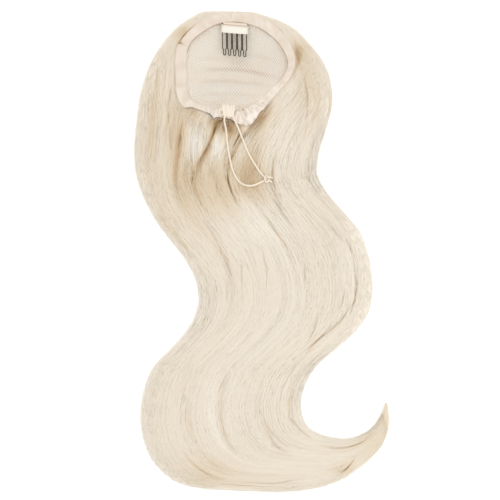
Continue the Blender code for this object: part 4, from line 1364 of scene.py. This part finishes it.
def make_casing_stitches(finish):
    """A row of stitches along the casing's inner edge and one along its outer edge."""
    rim = RIM_FINE
    stations = len(rim.run)
    total = rim.run[-1] + rim.run[1]
    count = int(total / STITCH_PITCH)
    ends = []
    for row, out in ((0, -0.66), (1, 0.70)):
        for n in range(count):
            i = int((n + 0.5 * row) / count * stations) % stations
            j = (i + int(STITCH_LENGTH / total * stations)) % stations
            slant = 0.05 * (-1) ** n
            ends.append((casing_top(rim, i, out - slant), casing_top(rim, j, out + slant)))
    return sew("casing_stitches", ends, UP, 0.00016, 0.0002, finish)


def make_tab_stitches(finish):
    """A row of stitches at each side of the tab and one along its open edge."""
    top = TAB_THICKNESS / 2
    ends = []
    for x in (0.0013 - TAB_WIDTH / 2, TAB_WIDTH / 2 - 0.0013):
        for y in 0.0018 + TAB_ROW_PITCH * np.arange(6):
            ends.append(((x, y, top), (x, y + 0.0009, top)))
    for x in TAB_SEAM_PITCH * (np.arange(18) - 8.5):
        ends.append(((x - 0.0005, TAB_LENGTH - 0.0014, top), (x + 0.0005, TAB_LENGTH - 0.0013, top)))
    return sew("tab_stitches", in_comb(ends), COMB_FRAME[3], 0.00013, 0.00018, finish)


# Drawstring


BRAID_SIDES = 20
BRAID_STEP = 0.0003
BRAID_PITCH = 0.0032
BRAID_STRANDS = 5
BRAID_RELIEF = 0.085
RIM_KNOT_CORD = 0.0022
END_KNOT_CORD = 0.0017
END_KNOT_RADIUS = 0.0025
END_KNOT_NEST = 0.00075
TAIL_LENGTH = 0.0035
TAIL_SPREAD = 0.22
TAIL_DROP = 0.40
KNOT_WEAVE = 0.46
KNOT_PARTING = 0.32


def resample(points, step):
    """Points a step apart on a smooth curve through all the points."""
    count = max(8, round(run_of(points)[-1] / step))
    return spline(points, even_places(points, count, fine=8))


def braid(name, cords, finish, blunt=False):
    """Strings along lines, each with its diameter: strands that wind round both ways and cross."""
    turn = tau * np.arange(BRAID_SIDES) / BRAID_SIDES
    points, faces, weaves = [], [], []
    for line, diameter in cords:
        run = run_of(line)
        along = unit(np.gradient(line, axis=0))
        side = unit(np.cross(along, UP))
        rise = np.cross(side, along)
        wind = tau * run[:, None] / BRAID_PITCH
        relief = np.maximum(*(np.cos(BRAID_STRANDS * turn + way * wind) for way in (2, -2)))
        radius = diameter / 2 * (1 - BRAID_RELIEF + BRAID_RELIEF * relief)
        if not blunt:
            left = np.minimum(run, run[-1] - run)[:, None]
            radius = radius * np.sqrt(np.clip(left / (diameter * 0.35) + 0.25, 0, 1))
        ring = np.cos(turn)[:, None] * side[:, None] + np.sin(turn)[:, None] * rise[:, None]
        start = sum(len(p) for p in points)
        faces += [start + make(len(line), BRAID_SIDES)[:, ::-1] for make in (grid_faces, end_faces)]
        points.append((line[:, None] + radius[..., None] * ring).reshape(-1, 3))
        # Painted shade: the weave value is low in the grooves between the braid's strands, where the string
        # is coloured tanner
        weaves.append(((relief - relief.min()) / np.ptp(relief)).ravel())
    return add_mesh(name, np.concatenate(points), faces, finish, weave=np.concatenate(weaves))


def trefoil(radius, phases):
    small = KNOT_WEAVE * radius
    out = radius + small * np.cos(3 * phases)
    return np.column_stack([out * np.cos(2 * phases), out * np.sin(2 * phases), small * np.sin(3 * phases)])


def make_end_knot(finish):
    """The knot that joins the two legs, with its two cut tails to the right."""
    rise = KNOT_WEAVE * END_KNOT_RADIUS + END_KNOT_CORD / 2
    middle = (np.array(LEFT_ROUTE[-1]) + np.array(RIGHT_ROUTE[-1])) / 2
    middle += (END_KNOT_RADIUS + rise - END_KNOT_NEST, 0, rise - CORD_DIAMETER / 2)
    ring = trefoil(END_KNOT_RADIUS, np.linspace(KNOT_PARTING, tau - KNOT_PARTING, 60))
    tails = []
    for point in (ring[0], ring[-1]):
        out = unit(np.array([1, (TAIL_SPREAD if point[1] > 0 else -TAIL_SPREAD) - TAIL_DROP, 0]))
        tails.append(point + out * TAIL_LENGTH * np.array([[0.35], [0.7], [1.0]]))
    line = middle + np.concatenate([tails[0][::-1], ring, tails[1]])
    return braid("end_knot", [(resample(line, BRAID_STEP), END_KNOT_CORD)], finish)


WRAPS = 7
WRAP_PITCH = 0.0017
WRAP_REACH = 0.0058
WRAP_RISE = 0.0021
LOOP_SIZE = np.array([(0.001955, 0, 0), (0, 0.003335, 0.0008)])


def make_rim_knot(finish):
    """The knot on the gathers: the string wound loosely on itself, with one loop left out at its side."""
    low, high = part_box("rim_knot")
    middle = np.array((low + high) / 2)
    turns = np.linspace(0, tau * WRAPS, WRAPS * 20)
    wrap = turns / tau
    reach = WRAP_REACH * (1 + 0.16 * noise(wrap * 1.1, 0.5, 61) + 0.08 * noise(wrap * 2.3, 2.5, 64))
    x = (wrap - WRAPS / 2) * WRAP_PITCH * (1 - 0.20 * np.cos(turns)) + 0.0004 * noise(wrap * 1.9, 1.5, 63)
    y = -reach * np.cos(turns) + 0.0012 * noise(wrap * 1.2, 3.5, 62)
    z = WRAP_RISE * (1 + 0.25 * noise(wrap * 1.3, 4.5, 65)) * np.sin(turns)
    winding = np.column_stack([x, y, z]) + (0.0007, -0.0006, 0)
    turn = np.linspace(0.06 * tau, 0.94 * tau, 24)[:, None]
    loop = (-0.0074, -0.0022, 0.0012) + LOOP_SIZE[0] * np.cos(turn) + LOOP_SIZE[1] * np.sin(turn)
    pieces = ((winding, RIM_KNOT_CORD), (loop, CORD_DIAMETER * 0.8))
    cords = [(middle + resample(line, BRAID_STEP * 1.3), diameter) for line, diameter in pieces]
    return braid("rim_knot_wraps", cords, finish)


STRING_COLOURS = ((0.00, 220, 188, 152), (0.40, 248, 233, 212), (1.00, 255, 250, 240))
WIRE_COLOURS = ((0.30, 58, 45, 37), (0.62, 88, 71, 59), (0.8, 132, 114, 98))


def string_finish():
    finish = Finish("drawstring", Roughness=0.6)
    fuzz = finish.noise(finish.node("TexCoord", "Object"), 2600.0, 3.0, 0.6)
    # The string is tanner where the weave value is low, as painted shade in its braid's grooves
    finish.colours(finish.math("ADD", finish.attribute("weave"), finish.spread(fuzz, 0.5)), STRING_COLOURS)
    finish.bump(fuzz, 0.4, 0.0001)
    return finish


def cloth_finish(name, value, pitch, turns, grain, depth, stops):
    """Woven cloth: colours by a value of the mesh, speckled, with threads at a pitch along each turn."""
    finish = Finish(name, Roughness=0.78, Sheen_Weight=0.15)
    place = finish.node("TexCoord", "Object") if value == "tan" else finish.attribute("flow", "Vector")
    speckle = finish.noise(place, 1.4 / pitch, 3.0, 0.65)
    blotch = finish.noise(place, 0.11 / pitch, 2.0, 0.5)
    weave = None
    for turn in turns:
        turned = finish.node("Mapping", 0, Vector=place, Rotation=(0.0, 0.0, turn))
        scale = tau / 20 / pitch
        wave = finish.node("TexWave", "Fac", Vector=turned, Scale=scale, Distortion=0.6, Detail=1.0)
        weave = finish.math("MAXIMUM", weave, wave) if weave else wave
    tone = finish.attribute(value)
    for source, share in ((speckle, 1), (blotch, 0.8), (weave, -0.5)):
        tone = finish.math("ADD", tone, finish.spread(source, grain * share))
    finish.colours(tone, stops)
    finish.feed(finish.shader, {"Roughness": finish.spread(speckle, 0.2, 0.76)})
    finish.bump(speckle, 0.4, depth, Normal=finish.bump(weave, 0.6, depth))
    return finish


def wire_finish():
    """Dark brown lacquer on spring wire, rubbed paler in places."""
    finish = Finish("wire", Metallic=0.35)
    rub = finish.noise(finish.node("TexCoord", "Object"), 420.0, 4.0, 0.7)
    finish.colours(rub, WIRE_COLOURS)
    finish.feed(finish.shader, {"Roughness": finish.spread(rub, 0.35, 0.395)})
    finish.bump(rub, 0.25, 0.00003)
    return finish


# Light, floor and camera


PICTURE_WIDTH = 0.55
PICTURE_MIDDLE = (-0.01265, 0.00165)
CAMERA_HEIGHT = 3.02
SENSOR = 36.0
FLOOR_HALF = 3.0


def make_floor():
    colours = {"Base_Color": linear(250, 250, 250), "Emission_Color": (1.0, 1.0, 1.0, 1.0)}
    finish = Finish("floor", Roughness=0.9, Emission_Strength=0.25, **colours)
    corners = [(x * FLOOR_HALF, y * FLOOR_HALF, 0) for x, y in ((-1, -1), (1, -1), (1, 1), (-1, 1))]
    floor = add_mesh("floor", corners, [[(0, 1, 2, 3)]], finish)
    floor.location.z = -0.0002


def make_light(name, place, size, power):
    data = bpy.data.lights.new(name, "AREA")
    data.shape = "DISK"
    data.size = size
    data.energy = power
    lamp = add_object(name, data)
    lamp.location = place
    lamp.rotation_mode = "QUATERNION"
    lamp.rotation_quaternion = (-Vector(place)).to_track_quat("-Z", "Y")


def make_stage():
    make_floor()
    scene = bpy.context.scene
    scene.world = bpy.data.worlds.new("studio")
    scene.world.use_nodes = True
    background = scene.world.node_tree.nodes["Background"]
    background.inputs["Color"].default_value = (1.0, 0.985, 0.955, 1.0)
    background.inputs["Strength"].default_value = 0.92
    make_light("key", (-0.9, 1.4, 1.5), 0.9, 4.5)
    make_light("fill", (1.3, -1.1, 1.0), 1.4, 6.0)
    scene.view_settings.view_transform = "Standard"
    camera = bpy.data.cameras.new("camera")
    camera.sensor_width = SENSOR
    camera.lens = SENSOR * (CAMERA_HEIGHT - 0.02) / PICTURE_WIDTH
    scene.camera = add_object("camera", camera)
    scene.camera.location = (*PICTURE_MIDDLE, CAMERA_HEIGHT)


# Each row is a cloth: its name, the value of the mesh that colours it, its threads' pitch and turns, how
# speckled it is, its threads' depth, and its colours.
CLOTHS = (
    ("netting", "tan", 0.0009, THREAD_TURNS, 0.30, 0.0001, (
        (0.0, 246, 231, 215), (0.45, 220, 198, 177), (1.0, 160, 132, 106),
    )),
    ("net thread", "tan", 0.0004, (0.0,), 0.2, 0.00005, (
        (0.0, 255, 253, 247), (0.5, 255, 249, 239), (1.0, 236, 217, 199),
    )),
    ("casing", "crease", 0.0007, (0.0,), 0.16, 0.00014, (
        (0.0, 252, 244, 236), (0.25, 234, 221, 207), (0.5, 218, 198, 178), (0.8, 190, 158, 132),
        (1.0, 146, 112, 86),
    )),
    ("thread", "tan", 0.0003, (0.8,), 0.3, 0.00004, ((0.0, 252, 242, 228), (1.0, 206, 180, 152))),
    ("tab", "edge", 0.0006, (0.0, pi / 2), 0.16, 0.0001, (
        (0.0, 249, 247, 236), (0.5, 234, 230, 210), (1.0, 200, 190, 160),
    )),
    ("tab seam", "edge", 0.0006, (0.0,), 0.16, 0.00008, (
        (0.0, 244, 234, 221), (0.5, 214, 194, 172), (1.0, 150, 118, 92),
    )),
)


def build():
    make_stage()
    mass = place_piece(make_mass(hair_finish("hair body", 0.0003)), "hair", "hair")
    strand = hair_finish("hair strands", 0.00006)
    for piece in (*make_strands(strand), make_lines(mass, strand)):
        place_piece(piece, "hair")
    lining, net_thread, casing_cloth, sewing, tab_cloth, tab_seam = (cloth_finish(*row) for row in CLOTHS)
    net = place_piece(make_net(lining), "netting", "cap_net")
    threads = place_piece(make_net_threads(net_thread), "netting")
    casing = place_piece(make_casing(casing_cloth), "ribbon", "rim_casing")
    place_piece(make_casing_stitches(sewing), "ribbon")
    place_piece(make_comb(wire_finish()), "wire", "comb")
    tab = place_piece(make_tab(tab_cloth), "tab", "comb_tab")
    tongue = place_piece(make_tongue(tab_seam), "tab")
    place_piece(make_tab_stitches(sewing), "tab")
    string = string_finish()
    place_piece(make_rim_knot(string), "string", "rim_knot")
    end_knot = place_piece(make_end_knot(string), "string", "drawstring_knot")
    for name, node, route in (
        ("string_left", "drawstring_left", LEFT_ROUTE),
        ("string_right", "drawstring_right", RIGHT_ROUTE),
    ):
        line = resample(route, BRAID_STEP)
        piece = place_piece(braid(name, [(line, CORD_DIAMETER)], string, blunt=True), "string", node)


build()
